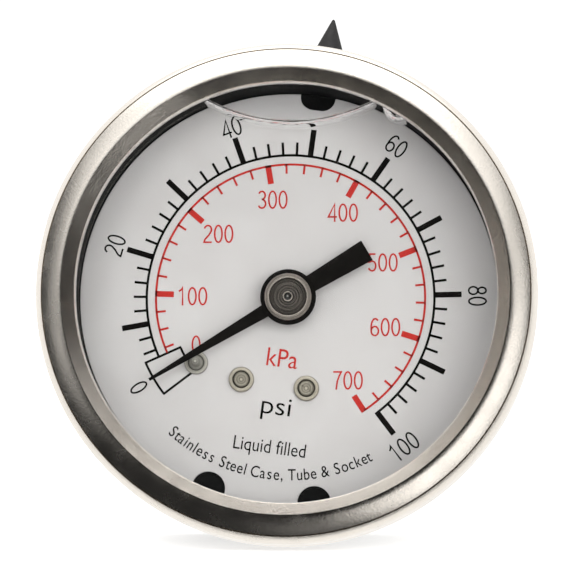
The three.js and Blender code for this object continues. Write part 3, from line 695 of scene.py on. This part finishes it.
def text_object(text, height, weight):
    """Text as thick as the print, centred about its own upright line."""
    curve = bpy.data.curves.new("text", "FONT")
    curve.body = text
    curve.align_x = "CENTER"
    curve.size = height * MM / CAPITAL_HEIGHT
    curve.offset = weight * MM
    curve.extrude = PRINT_HEIGHT / 2 * MM
    return linked("text", curve)


def on_dial(place, turn=0.0):
    """From a flat text's frame to a place on the dial, turned clockwise."""
    shift = Matrix.Translation((place[0] * MM, (DIAL_FACE - PRINT_HEIGHT / 2) * MM, place[1] * MM))
    spin = Matrix.Rotation(math.radians(turn), 4, "Y")
    return shift @ spin @ Matrix.Rotation(math.pi / 2, 4, "X")


def words(text, height, place, width, weight=0.0):
    """Printed text of a given width, centred at a place."""
    obj = text_object(text, height, weight)
    obj.data.resolution_u = 4
    bpy.context.view_layer.update()
    squeeze = Matrix.Diagonal((width * MM / obj.dimensions.x, 1, 1, 1))
    heights = [corner[1] for corner in obj.bound_box]
    centre = Matrix.Translation((0, -(min(heights) + max(heights)) / 2, 0))
    obj.matrix_world = on_dial(place) @ squeeze @ centre
    bpy.context.view_layer.update()
    return obj


def ribbon(points, width, closed=False):
    """A printed stroke of even width along a line of (x, z) points."""
    line = [Vector(point) for point in points]
    count = len(line)
    sides = []
    for i, point in enumerate(line):
        before = line[i - 1] if closed or i > 0 else point
        after = line[(i + 1) % count] if closed or i < count - 1 else point
        into = (point - before).normalized() if (point - before).length else (after - point).normalized()
        out = (after - point).normalized() if (after - point).length else into
        along = (into + out).normalized()
        mitre = 1 / max(along.dot(into), 0.5)
        across = Vector((-along.y, along.x)) * width / 2 * mitre
        sides.append((point + across, point - across))
    rear = DIAL_FACE
    front = DIAL_FACE - PRINT_HEIGHT
    points = []
    for left, right in sides:
        points += [(left.x, rear, left.y), (right.x, rear, right.y)]
        points += [(right.x, front, right.y), (left.x, front, left.y)]
    faces = skin(count, 4, wrap=closed)
    if not closed:
        faces += [(0, 1, 2, 3), (4 * count - 4, 4 * count - 3, 4 * count - 2, 4 * count - 1)]
    return from_points("stroke", points, faces)


def bow(cx, cy, rx, ry, start, end, steps):
    """Points along an elliptical arc; angles run anticlockwise from the right."""
    angles = [math.radians(start + (end - start) * i / steps) for i in range(steps + 1)]
    return [(cx + rx * math.cos(a), cy + ry * math.sin(a)) for a in angles]


def hoop(cx, cy, rx, ry):
    return bow(cx, cy, rx, ry, 0, 360, 32)[:-1]


# Each figure's centre lines in a box one high: (points, closed).
FIGURES = {
    "0": [(hoop(0.26, 0.5, 0.2, 0.455), True)],
    "1": [([(0.3, 0.0), (0.3, 0.98), (0.24, 0.86), (0.1, 0.76)], False)],
    "2": [(bow(0.26, 0.73, 0.19, 0.225, 165, -30, 14)
           + [(0.3, 0.42), (0.1, 0.2), (0.055, 0.045), (0.47, 0.045)], False)],
    "3": [(bow(0.25, 0.735, 0.175, 0.22, 155, -75, 14) + [(0.24, 0.52)], False),
          ([(0.24, 0.52)] + bow(0.25, 0.28, 0.2, 0.235, 75, -155, 14), False)],
    "4": [([(0.38, 0.0), (0.38, 0.97), (0.04, 0.27), (0.5, 0.27)], False)],
    "5": [([(0.44, 0.955), (0.14, 0.955), (0.085, 0.52)]
           + bow(0.255, 0.31, 0.2, 0.265, 125, -155, 16), False)],
    "6": [(hoop(0.265, 0.29, 0.195, 0.245), True),
          (bow(0.29, 0.5, 0.22, 0.455, 50, 200, 16), False)],
    "7": [([(0.04, 0.955), (0.47, 0.955), (0.36, 0.74), (0.26, 0.45), (0.2, 0.0)], False)],
    "8": [(hoop(0.26, 0.745, 0.165, 0.21), True), (hoop(0.26, 0.285, 0.2, 0.24), True)],
}
FIGURE_STEP = 0.565
FIGURE_LINE = 0.092


def figures(text, height, place, turn=0.0):
    """A number in a narrow thin face, centred at a place and turned clockwise."""
    middle_x = (FIGURE_STEP * len(text) - 0.04) / 2
    rise, along = directions(turn)
    strokes = []
    for i, figure in enumerate(text):
        for points, closed in FIGURES[figure]:
            line = [Vector(place) + height * ((x + FIGURE_STEP * i - middle_x) * along + (z - 0.5) * rise)
                    for x, z in points]
            strokes.append(ribbon([tuple(point) for point in line], FIGURE_LINE * height, closed))
    return strokes


def psi_angle(psi):
    """Where a pressure stands on the dial: the scale runs from -135 to 135 degrees over 100 psi."""
    return -135 + 2.7 * psi


def kpa_angle(kpa):
    return psi_angle(0.145038 * kpa)


def black_print():
    """The psi scale, its figures and the captions."""
    arc_r = 15.9
    marks = [band(ZERO_BOX_END, psi_angle(100), arc_r, 0.27)]
    for psi in range(2, 101, 2):
        major = psi % 10 == 0
        outer_r = 18.9 if major else 17.35
        if psi_angle(psi) > ZERO_BOX_END + 1:
            marks.append(tick(psi_angle(psi), arc_r - 0.12, outer_r, 0.62 if major else 0.28))
    box = [(13.3, psi_angle(0)), (17.5, psi_angle(0)), (17.5, ZERO_BOX_END), (13.3, ZERO_BOX_END)]
    for (r1, a1), (r2, a2) in zip(box, box[1:] + box[:1]):
        if a1 == a2:
            marks.append(tick(a1, min(r1, r2) - 0.1, max(r1, r2) + 0.1, 0.26))
        else:
            marks.append(band(min(a1, a2), max(a1, a2), r1, 0.26, 12))
    outward = [("20", 20.33, -80.8), ("40", 20.11, -27), ("60", 20.54, 27), ("80", 20.64, 81.6)]
    for text, r, angle in outward:
        marks += figures(text, 2.1, polar(r, angle), angle)
    for text, r, angle in [("0", 19.42, -128.4), ("100", 20.67, 134.9)]:
        marks += figures(text, 2.1, polar(r, angle), angle + 180)
    marks.append(words("psi", 2.15, (0.12, -12.4), width=3.25, weight=-0.01))
    marks.append(words("Liquid filled", 1.55, (0, -16.8), width=8.0))
    marks += curved_words("Stainless Steel Case, Tube & Socket", 1.3, 19.5, 34.7)
    return marks


def curved_words(text, height, radius, half_span):
    """Small text along the dial's lower edge, its tops towards the centre."""
    narrow = "iIltfj,. "
    wide = "mwSTCB&"
    widths = [0.55 if c in narrow else 1.25 if c in wide else 1.0 for c in text]
    total = sum(widths)
    letters = []
    passed = 0.0
    for character, width in zip(text, widths):
        share = (passed + width / 2) / total
        passed += width
        angle = 180 + half_span - 2 * half_span * share
        if character != " ":
            letters.append(baseline_letter(character, height, radius, angle))
    return letters


def baseline_letter(character, height, radius, angle):
    """One letter that stands on a circle below the centre."""
    obj = text_object(character, height, 0.008)
    squeeze = Matrix.Diagonal((0.82, 1, 1, 1))
    drop = Matrix.Translation((0, -height / 2 * MM, 0))
    obj.matrix_world = on_dial(polar(radius, angle), angle + 180) @ squeeze @ drop
    bpy.context.view_layer.update()
    return obj


def red_print():
    """The kPa scale and its figures."""
    arc_r = 14.87
    marks = [band(ZERO_BOX_END, kpa_angle(700), arc_r, 0.24)]
    for kpa in range(0, 701, 20):
        major = kpa % 100 == 0
        inner_r = 12.9 if major else 13.85
        if kpa_angle(kpa) > ZERO_BOX_END + 0.9:
            marks.append(tick(kpa_angle(kpa), inner_r, arc_r + 0.12, 0.65 if major else 0.24))
    labels = [
        ("0", -9.61, -6.51), ("100", -10.78, -1.24), ("200", -8.89, 6.01), ("300", -3.47, 10.58),
        ("400", 4.45, 10.19), ("500", 9.56, 5.29), ("600", 10.82, -1.78), ("700", 7.54, -8.17),
    ]
    for text, x, z in labels:
        marks += figures(text, 2.05, (x, z), -LEAN)
    marks.append(words("kPa", 2.1, (0, -6.72), width=3.4))
    return marks


def make_print():
    """Both colours of print, which sit a little off the dial's centre."""
    shift = Matrix.Translation((PRINT_SHIFT[0] * MM, 0, PRINT_SHIFT[1] * MM))
    colours = {"print_black": (black_print, BLACK_INK), "print_red": (red_print, RED_INK)}
    for name, (marks, material) in colours.items():
        printed = merged(name, marks())
        printed.data.transform(shift)
        piece(printed, "housing", "dial_white", material)


def make_dial_screws():
    """Round heads with a groove round a dished middle and a worn cross recess."""
    seat = DIAL_FACE - GAP
    for name, place in SCREW_PLACES.items():
        profile = [
            (0, DIAL_FACE + 2), (0.7, DIAL_FACE + 2), (0.7, seat), (1.4, seat),
            (1.4, seat - 0.3), (1.32, seat - 0.48), (1.12, seat - 0.58), (0.98, seat - 0.5),
            (0.93, seat - 0.36), (0.84, seat - 0.4), (0.76, seat - 0.62), (0.45, seat - 0.73),
            (0, seat - 0.75),
        ]
        obj = turned(name + "_head", profile, place, steps=72, crease=50)
        combine(obj, "DIFFERENCE", cross_recess(place, 20, 0.62, 0.12, (seat - 0.5, seat - 1)), 40)
        # The head's colour rings are painted highlights and painted shade in its groove.
        metal = metal_with_painted_glints(name + "_nickel", place, 1.4, HEAD_GLINT_AND_SHADE_TONES, (1, 0.91, 0.76), 0.4)
        piece(obj, "housing", "nickel", metal, name)


def make_stop_pin():
    """A flanged pin, whose post stands beside the pointer's blade."""
    seat = DIAL_FACE - GAP
    post_r = 0.45
    top = POINTER_FACE - 0.5
    profile = [
        (0, DIAL_REAR + 0.1), (0.6, DIAL_REAR + 0.1), (0.6, seat), (1.3, seat),
        (1.3, seat - 0.3), (1.2, seat - 0.48), (1.0, seat - 0.55), (0.85, seat - 0.45),
        (0.6, seat - 0.5), (post_r, seat - 0.65), (post_r, top + 0.15),
        (post_r - 0.12, top + 0.02), (0, top),
    ]
    obj = turned("stop_post", profile, PIN_PLACE, steps=72, crease=50)
    # The pin head's colour rings are painted highlights and painted shade in its groove.
    metal = metal_with_painted_glints("stop_pin_nickel", PIN_PLACE, 1.3, HEAD_GLINT_AND_SHADE_TONES, (1, 0.95, 0.86), 0.4)
    piece(obj, "housing", "nickel", metal, "stop_pin")


# ---- pointer

def make_pointer():
    """A stamped blade with a flared tail and a round boss, one piece, painted black."""
    along, across = directions(POINTER_ANGLE)
    half_widths = [(-POINTER_TAIL_R, 1.25), (-2, 0.93), (2, 0.76), (POINTER_TIP_R, 0.16)]
    edge = half_widths + [(r, -w) for r, w in reversed(half_widths)]
    outline = [tuple(r * along + w * across) for r, w in edge]
    blade = slab("pointer_blade", outline, POINTER_REAR, POINTER_FACE)
    boss = slab("boss", ring_of(POINTER_BOSS_R, steps=96), POINTER_REAR + 0.1, POINTER_FACE - 0.1)
    combine(blade, "UNION", [boss])
    combine(blade, "DIFFERENCE", [slab("bore", ring_of(1.3), POINTER_REAR + 1, POINTER_FACE - 1)])
    chamfer(blade, 0.05)
    piece(blade, "arbor", "pointer_black", POINTER_PAINT, "pointer")


def make_bush():
    """The turned cap: rim, step, a dished face with tool rings, and a small nose round the arbor."""
    seat = POINTER_FACE - 0.1 - GAP
    rings = []
    for i in range(5):
        r = 2.0 - 0.24 * i
        rings += [(r, seat - 0.56), (r - 0.1, seat - 0.64), (r - 0.2, seat - 0.56)]
    profile = [
        (0.82, POINTER_REAR + 0.9), (1.25, POINTER_REAR + 0.9), (1.25, seat),
        (BUSH_R - 0.05, seat), (BUSH_R, seat - 0.05), (BUSH_R, seat - 0.38),
        (2.54, seat - 0.52), (2.4, seat - 0.66), (2.2, seat - 0.74), (2.1, seat - 0.72),
        (2.06, seat - 0.6), *rings, (0.72, seat - 0.58), (0.66, seat - 1.15),
        (0.58, seat - 1.25), (0.46, seat - 1.25), (0.42, seat - 1.15), (0.42, seat - 0.4),
        (0.82, seat - 0.1),
    ]
    obj = turned("pointer_cap", profile, steps=144, crease=45)
    piece(obj, "arbor", "turned_steel", BUSH_STEEL, "pointer_bush")


# ---- vent plug

def make_vent_plug():
    """The moulded filler plug: shank, round flange that sits on the case, and a pointed cone."""
    shank_r = 2.0
    flange_r = 4.4
    cone_r = 2.5
    foot_z = PLUG_TIP_Z - cone_r / math.tan(math.radians(23))
    profile = [
        (0, CASE_R - 1.4), (1.7, CASE_R - 1.4), (shank_r, CASE_R - 1.1),
        (shank_r, CASE_R - 0.2), (flange_r, CASE_R - 0.2), (flange_r, CASE_R + 0.75),
        (4.1, CASE_R + 1.05), (2.6, CASE_R + 1.15), (cone_r, foot_z), (0.3, PLUG_TIP_Z - 0.45),
        (0.16, PLUG_TIP_Z - 0.12), (0, PLUG_TIP_Z),
    ]
    obj = upright("vent_stopper", profile, 96)
    seat_r = CASE_R + GAP
    seat = turned("seat", [(0, PLUG_Y + 8), (seat_r, PLUG_Y + 8), (seat_r, PLUG_Y - 8), (0, PLUG_Y - 8)])
    combine(seat, "DIFFERENCE", [upright_rod("way", shank_r, CASE_R - 3, CASE_R + 3)])
    combine(obj, "DIFFERENCE", [seat])
    piece(obj, "plug", "plug_rubber", PLUG_RUBBER, "vent_plug")


# ---- liquid

LIQUID_R = 23.4
WALL_STEPS = 220
BUBBLE_CENTRE = (0.4, 38.8)
BUBBLE_R = 20.0
BUBBLE_STEPS = 90


def liquid_slice(y, front):
    """The liquid's outline at one depth: round wall with a small bubble's dent, then the large bubble.

    The liquid climbs a little where it touches the window and the dial."""
    climb_height = 0.55
    climb_reach = 0.45
    small_angle = 30.2
    small_half = 3.4
    depth = max(min(y - front, DIAL_FACE - y), 0)
    climb = climb_height * math.exp(-depth / climb_reach)
    small_depth = math.exp(-1.2 * climb / climb_height)
    cx = BUBBLE_CENTRE[0]
    cz = BUBBLE_CENTRE[1] + climb
    gap = math.hypot(cx, cz)
    heading = math.degrees(math.atan2(cx, cz))
    reach = (gap * gap + LIQUID_R * LIQUID_R - BUBBLE_R * BUBBLE_R) / (2 * gap)
    half = math.degrees(math.acos(reach / LIQUID_R))
    bubble_half = math.degrees(math.acos((gap - reach) / BUBBLE_R))
    points = []
    for k in range(WALL_STEPS):
        angle = heading + half + (360 - 2 * half) * k / WALL_STEPS
        offset = (angle - small_angle) / small_half
        dent = small_depth * max(0.0, 1 - offset * offset) ** 0.5
        x, z = polar(LIQUID_R - dent, angle)
        points.append(tilted(x, y, z))
    for k in range(BUBBLE_STEPS):
        dx, dz = polar(BUBBLE_R, 180 + heading + bubble_half - 2 * bubble_half * k / BUBBLE_STEPS)
        points.append(tilted(cx + dx, y, cz + dz))
    return points


def make_liquid():
    """The glycerin: it fills the front chamber up to a large bubble and a small one near the rim."""
    rear = DIAL_FACE + 0.25
    front = WINDOW_REAR - 0.02
    slices = 26
    points = []
    for i in range(slices + 1):
        eased_share = 0.5 - 0.5 * math.cos(math.pi * i / slices)
        points += liquid_slice(rear + (front - rear) * eased_share, front)
    count = WALL_STEPS + BUBBLE_STEPS
    ends = [tuple(range(count)), tuple(range(slices * count, (slices + 1) * count))]
    obj = from_points("liquid_fill", points, ends + skin(slices + 1, count), crease=50)
    piece(obj, "housing", "window_glass", LIQUID)


def tilted(x, y, z):
    """From the level frame of the liquid to the gauge's own frame."""
    turn = math.radians(LEAN)
    return (x * math.cos(turn) - z * math.sin(turn), y, x * math.sin(turn) + z * math.cos(turn))


# ---- stem and tube

TUBE_R = 17
TUBE_WIDTH = 6.5
TUBE_THICKNESS = 2
TUBE_WALL = 0.3
TUBE_Y = -17.75
TUBE_ROOT_ANGLE = 182
TUBE_TIP_ANGLE = 446

SQUARE_WIDTH = 14
SQUARE_CORNER_R = 8.1
THREAD_LENGTH = span("socket")[1].y
THREAD_START = 1.9
THREAD_R = (6.85, 6.4)
THREAD_NECK_R = 5.9
THREAD_PITCH = 1.411
THREAD_DEPTH = 0.98
FLANGE_BACK = CASE_BACK - 1.4
FLANGE_FRONT = CASE_BACK - 3.4
SOCKET_FRONT = -18.75
SOCKET_SCREW_X = 10.9


def oval(inset):
    """A flat oval of (radial, y) points, set in from the tube's outside."""
    steps = 14
    end_r = TUBE_THICKNESS / 2 - inset
    flat = TUBE_WIDTH / 2 - TUBE_THICKNESS / 2
    half = []
    for i in range(steps + 1):
        angle = math.pi * i / steps
        half.append((end_r * math.cos(angle), flat + end_r * math.sin(angle)))
    return half + [(-r, -y) for r, y in half]


def swept(name, start, end, loops):
    """Flat oval loops, an outer one and perhaps an inner one, swept round the tube's circle."""
    step_angle = 2
    count = len(loops[0])
    steps = round((end - start) / step_angle)
    points = []
    for i in range(steps + 1):
        angle = start + (end - start) * i / steps
        for loop in loops:
            for radial, y in loop:
                x, z = polar(TUBE_R + radial, angle)
                points.append((x, TUBE_Y + y, z))
    size = count * len(loops)
    faces = []
    for lane in range(len(loops)):
        for i in range(steps):
            for k in range(count):
                here = i * size + lane * count
                j = (k + 1) % count
                faces.append((here + k, here + j, here + size + j, here + size + k))
    for first in (0, steps * size):
        if len(loops) == 1:
            faces.append(tuple(range(first, first + count)))
            continue
        for k in range(count):
            j = (k + 1) % count
            faces.append((first + k, first + j, first + count + j, first + count + k))
    return from_points(name, points, faces)


def make_tube():
    """The Bourdon tube, swept round from its root in the socket to its free end."""
    obj = swept("bourdon_c_tube", TUBE_ROOT_ANGLE, TUBE_TIP_ANGLE, [oval(0), oval(TUBE_WALL)])
    obj.data.materials.append(TUBE_STEEL)
    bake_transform(obj)
    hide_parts("bourdon_tube")


def thread_limit(y):
    """The widest the stem may be at a height: neck, run-out, taper and end chamfer."""
    corners = [(-1, THREAD_NECK_R), (1, THREAD_NECK_R), (THREAD_START, THREAD_R[0]),
               (THREAD_LENGTH - 0.8, THREAD_R[1]), (THREAD_LENGTH, THREAD_R[1] - 0.8)]
    for (low, low_r), (high, high_r) in zip(corners, corners[1:]):
        if y <= high:
            return low_r + (high_r - low_r) * (y - low) / (high - low)
    return corners[-1][1]


def threaded_stem():
    """A tapered helical thread; the mesh rows run along the helix, so its crests are sharp."""
    around = 96
    low = -0.5
    shares = [(0.0, 0), (0.06, 0), (0.5, 1), (0.56, 1)]
    start = low - 1.2 * THREAD_PITCH
    turns = math.ceil((THREAD_LENGTH - start) / THREAD_PITCH) + 2
    rows = [(turn + share, depth) for turn in range(turns) for share, depth in shares]
    taper = (THREAD_R[0] - THREAD_R[1]) / (THREAD_LENGTH - THREAD_START)
    points = []
    for k in range(around):
        for turn, depth in rows:
            y = min(max(start + THREAD_PITCH * (turn + k / around), low), THREAD_LENGTH)
            r = THREAD_R[0] - taper * (y - THREAD_START) - THREAD_DEPTH * depth
            if y in (low, THREAD_LENGTH):
                r = thread_limit(y)
            x, z = polar(min(r, thread_limit(y)), 360 * k / around)
            points.append((x, y, z))
    count = len(rows)
    faces = [tuple(k * count for k in range(around)), tuple((k + 1) * count - 1 for k in range(around))]
    for k in range(around):
        shift = len(shares) if k == around - 1 else 0
        there = ((k + 1) % around) * count + shift
        for i in range(count - 1 - shift):
            faces.append((k * count + i, k * count + i + 1, there + i + 1, there + i))
    return from_points("stem", points, faces)


def make_square():
    """The wrench square, its corners turned off and bevelled."""
    square = block("square", SQUARE_WIDTH, SQUARE_WIDTH, (0, CASE_BACK))
    end_y = CASE_BACK - 1
    profile = [
        (0, 0.01), (SQUARE_WIDTH / 2 - 0.1, 0.01), (SQUARE_CORNER_R, -0.6),
        (SQUARE_CORNER_R, end_y), (0, end_y),
    ]
    combine(square, "INTERSECT", [turned("trim", profile)])
    return square


def make_arm():
    """The arm that holds the tube's root, cut back in front of the boss."""
    rear = FLANGE_FRONT + 0.5
    front = TUBE_Y - TUBE_WIDTH / 2 - 0.5
    arm = block("arm", 9.2, 19.4, (rear, front), -9.7)
    chamfer(arm, 0.6)
    combine(arm, "DIFFERENCE", [block("cut", 12, 17, (SOCKET_FRONT, SOCKET_FRONT - 6), -4)])
    return arm


def make_socket():
    """One machined piece: thread, wrench square, neck, flange, boss and the tube's arm."""
    bore_end = -17
    cross_y = -16
    plate_screw_x = 4.8
    obj = threaded_stem()
    neck = rod("neck", SQUARE_CORNER_R, (CASE_BACK, FLANGE_BACK - 0.5))
    boss = rod("boss", 8, (FLANGE_FRONT + 0.5, SOCKET_FRONT))
    flange = disc("flange", 12.6, FLANGE_BACK, FLANGE_FRONT, 0.2)
    combine(obj, "UNION", [make_square(), neck, flange, boss, make_arm()])
    cross_hole = upright_rod("cross_hole", 1, -17, 0, 32)
    cross_hole.data.transform(Matrix.Translation((0, (cross_y - PLUG_Y) * MM, 0)))
    tools = [
        rod("bore", 1.75, (THREAD_LENGTH + 1, bore_end)),
        cross_hole,
        swept("tube_seat", TUBE_ROOT_ANGLE - 3, TUBE_ROOT_ANGLE + 24, [oval(-0.05)]),
    ]
    for side in (-1, 1):
        tools.append(rod("screw_hole", 0.85, (-16.2, -20), (side * plate_screw_x, 3.2)))
    for side in (-1, 1):
        tools.append(rod("case_screw_hole", 1.05, (-10, -13), (side * SOCKET_SCREW_X, 0)))
    combine(obj, "DIFFERENCE", tools)
    piece(obj, "housing", "socket_steel", SOCKET_STEEL, "socket")


def make_socket_screws():
    """Two cross-recess pan heads on the back of the case."""
    seat = CASE_BACK + GAP
    for name, x in (("socket_screw_left", -SOCKET_SCREW_X), ("socket_screw_right", SOCKET_SCREW_X)):
        profile = [
            (0, seat - 2.9), (0.85, seat - 2.9), (1.0, seat - 2.7), (1.0, seat), (1.85, seat),
            (2.0, seat + 0.12), (1.94, seat + 0.7), (1.6, seat + 1.1), (1.0, seat + 1.27),
            (0, seat + 1.3),
        ]
        obj = turned(name + "_pan", profile, (x, 0), steps=96, crease=45)
        combine(obj, "DIFFERENCE", cross_recess((x, 0), 17, 1.15, 0.2, (seat + 0.6, seat + 2)), 40)
        piece(obj, "housing", "turned_steel", TURNED_STEEL, name)


# ---- carried-over CAD nodes

def paint_frame():
    """Gives every CAD node that stays its procedural material."""
    groups = {
        ARBOR_STEEL: "pinion_arbor",
        TURNED_STEEL: "sector_shaft movement_screw_1 movement_screw_2 link link_pin_tube link_pin_sector",
        BRASS: "sector_gear movement_front_plate movement_back_plate movement_pillar_1"
               " movement_pillar_2 movement_pillar_3 dial_post_left dial_post_right"
               " hairspring_collet hairspring_stud restrictor_screw",
        BRONZE: "hairspring",
        TUBE_STEEL: "tube_tip",
        GASKET_RUBBER: "socket_gasket",
    }
    for material, nodes in groups.items():
        for node in nodes.split():
            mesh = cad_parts[node].data
            mesh.materials.clear()
            mesh.materials.append(material)


# ---- camera, floor and light

TURN = math.radians(LEAN)
UP = Vector((-math.sin(TURN), 0, math.cos(TURN)))
RIGHT = Vector((math.cos(TURN), 0, math.sin(TURN)))
FRONT = Vector((0, -1, 0))


def make_camera():
    """Looks at the dial from a little to its right and a little below, from half a metre."""
    side = math.tan(math.radians(2.6))
    below = math.tan(math.radians(6))
    towards = (FRONT + side * RIGHT - below * UP).normalized()
    aim = MM * (35 * FRONT + 0.75 * UP + 0.09 * RIGHT)
    distance = 0.55
    view_width = 63.15 * MM
    sensor = 36
    camera = bpy.data.cameras.new("camera")
    camera.sensor_width = sensor
    camera.lens = sensor * distance / view_width
    camera.clip_end = 20
    obj = linked("camera", camera)
    right = (RIGHT - RIGHT.dot(towards) * towards).normalized()
    up = towards.cross(right)
    rotation = Matrix((right, up, towards)).transposed().to_4x4()
    obj.matrix_world = Matrix.Translation(aim + distance * towards) @ rotation
    scene.camera = obj
    return towards, right, up


def floor_plane():
    """The gauge leans back until its bezel and the rear of its case both touch the floor."""
    bezel_edge = (BEZEL_R, CRIMP_Y)
    case_edge = (CASE_R, CASE_BACK - 2.5)
    lean = math.atan2(bezel_edge[0] - case_edge[0], case_edge[1] - bezel_edge[1])
    normal = math.cos(lean) * UP + math.sin(lean) * FRONT
    contact = -bezel_edge[0] * UP + Vector((0, bezel_edge[1], 0))
    return normal, contact.dot(normal) * MM


def make_floor():
    normal, height = floor_plane()
    half_size = 3.0
    depth = normal.cross(RIGHT)
    corners = [normal * height + half_size * (a * RIGHT + b * depth)
               for a, b in ((-1, -1), (1, -1), (1, 1), (-1, 1))]
    mesh = bpy.data.meshes.new("floor")
    mesh.from_pydata([list(corner) for corner in corners], [], [(0, 1, 2, 3)])
    floor = linked("floor", mesh)
    look = Nodes("pale_floor")
    look.colour(look.ramp(look.noise(0.01, detail=2), (0.3, (0.9, 0.9, 0.9)), (0.7, (0.92, 0.92, 0.92))))
    look.set(Roughness=0.9, Emission_Color=(1, 1, 1, 1), Emission_Strength=0.5)
    mesh.materials.append(look.material)
    floor.visible_glossy = False


def make_world(towards, right, up):
    """A white studio: bright overhead and to the right, dim to the lower left, white behind."""
    world = bpy.data.worlds.new("studio")
    scene.world = world
    world.use_nodes = True
    world.node_tree.nodes.clear()
    studio = Tree(world.node_tree)
    direction = studio.add("ShaderNodeTexCoord", output="Generated")

    def facing(heading):
        """The cosine of the angle from a heading."""
        return studio.add("ShaderNodeVectorMath", direction, heading.normalized(),
                          operation="DOT_PRODUCT", output="Value")

    def fade(value, dark, bright, strength=1):
        """Goes smoothly from nothing at one value to a strength at another."""
        light = studio.remap(value, dark, bright, 0, strength)
        light.node.interpolation_type = "SMOOTHSTEP"
        return light

    def between(cosine, full, none, strength=1):
        """Full strength at one angle from a heading, in degrees, and nothing at another."""
        return fade(cosine, math.cos(math.radians(none)), math.cos(math.radians(full)), strength)

    def lobe(heading, inner, outer, strength):
        """Light from within an angle of a heading, fading out to a larger angle."""
        return between(facing(heading), inner, outer, strength)

    def around(degrees, off_axis):
        """A heading at an angle clockwise from the right of the view, tipped off the view axis."""
        turn = math.radians(degrees)
        tip = math.radians(off_axis)
        return math.cos(tip) * towards + math.sin(tip) * (math.cos(turn) * right - math.sin(turn) * up)

    forward = facing(towards)
    ahead = fade(forward, 0.23, 0.35)
    aside = between(forward, 35, 21)

    def in_front(light):
        """Keeps a light to directions in front of the gauge's face."""
        return studio.math("MULTIPLY", light, ahead)

    def off_axis_only(light):
        """Leaves the place of the camera dark, so that the glass doesn't mirror a light."""
        return studio.math("MULTIPLY", light, aside)

    lobes = [
        off_axis_only(lobe(around(272, 62), 30, 74, 1.25)),
        lobe(around(270, 99), 30, 50, 2.0),
        off_axis_only(in_front(lobe(around(31, 54), 23, 38, 1.4))),
        in_front(lobe(around(2, 64), 16, 30, 0.95)),
        in_front(lobe(around(190, 62), 12, 32, 0.42)),
        lobe(around(85, 60), 5, 18, 0.14),
        lobe(-towards, 72, 84, 1.1),
    ]
    total = lobes[0]
    for light in lobes[1:]:
        total = studio.math("MAXIMUM", total, light)
    dim = studio.math("ADD", total, 0.022)
    lit = studio.add("ShaderNodeBackground", (1.0, 0.985, 0.965, 1), dim)
    white = studio.add("ShaderNodeBackground", (1, 1, 1, 1), 1.1)
    seen = studio.add("ShaderNodeLightPath", output="Is Camera Ray")
    surface = world.node_tree.nodes.new("ShaderNodeOutputWorld").inputs["Surface"]
    studio.feed(surface, studio.add("ShaderNodeMixShader", seen, lit, white))


def softbox(name, heading, distance, size, power):
    """A rectangular light that faces the gauge's front."""
    light = bpy.data.lights.new(name, "AREA")
    light.shape = "RECTANGLE"
    light.size = size[0]
    light.size_y = size[1]
    light.energy = power
    obj = linked(name, light)
    obj.location = 0.03 * FRONT + heading.normalized() * distance
    obj.rotation_euler = heading.to_track_quat("Z", "Y").to_euler()
    obj.visible_camera = False
    return obj


def make_lights(towards, right, up):
    front = softbox("front_fill", towards + 0.12 * right - 0.1 * up, 1.0, (1.3, 1.3), 30)
    front.visible_glossy = False
    front.visible_transmission = False
    softbox("top_softbox", up + 0.5 * towards, 0.9, (0.7, 0.4), 2.5)


# ---- the whole scene

towards, right, up = make_camera()
make_floor()
make_world(towards, right, up)
make_lights(towards, right, up)
scene.view_settings.view_transform = "Standard"
paint_frame()
for make in (make_bezel, make_case, make_window, make_gasket, make_dial, make_print, make_dial_screws,
             make_stop_pin, make_pointer, make_bush, make_vent_plug, make_tube, make_socket,
             make_socket_screws, make_liquid):
    make()

bpy.context.view_layer.update()
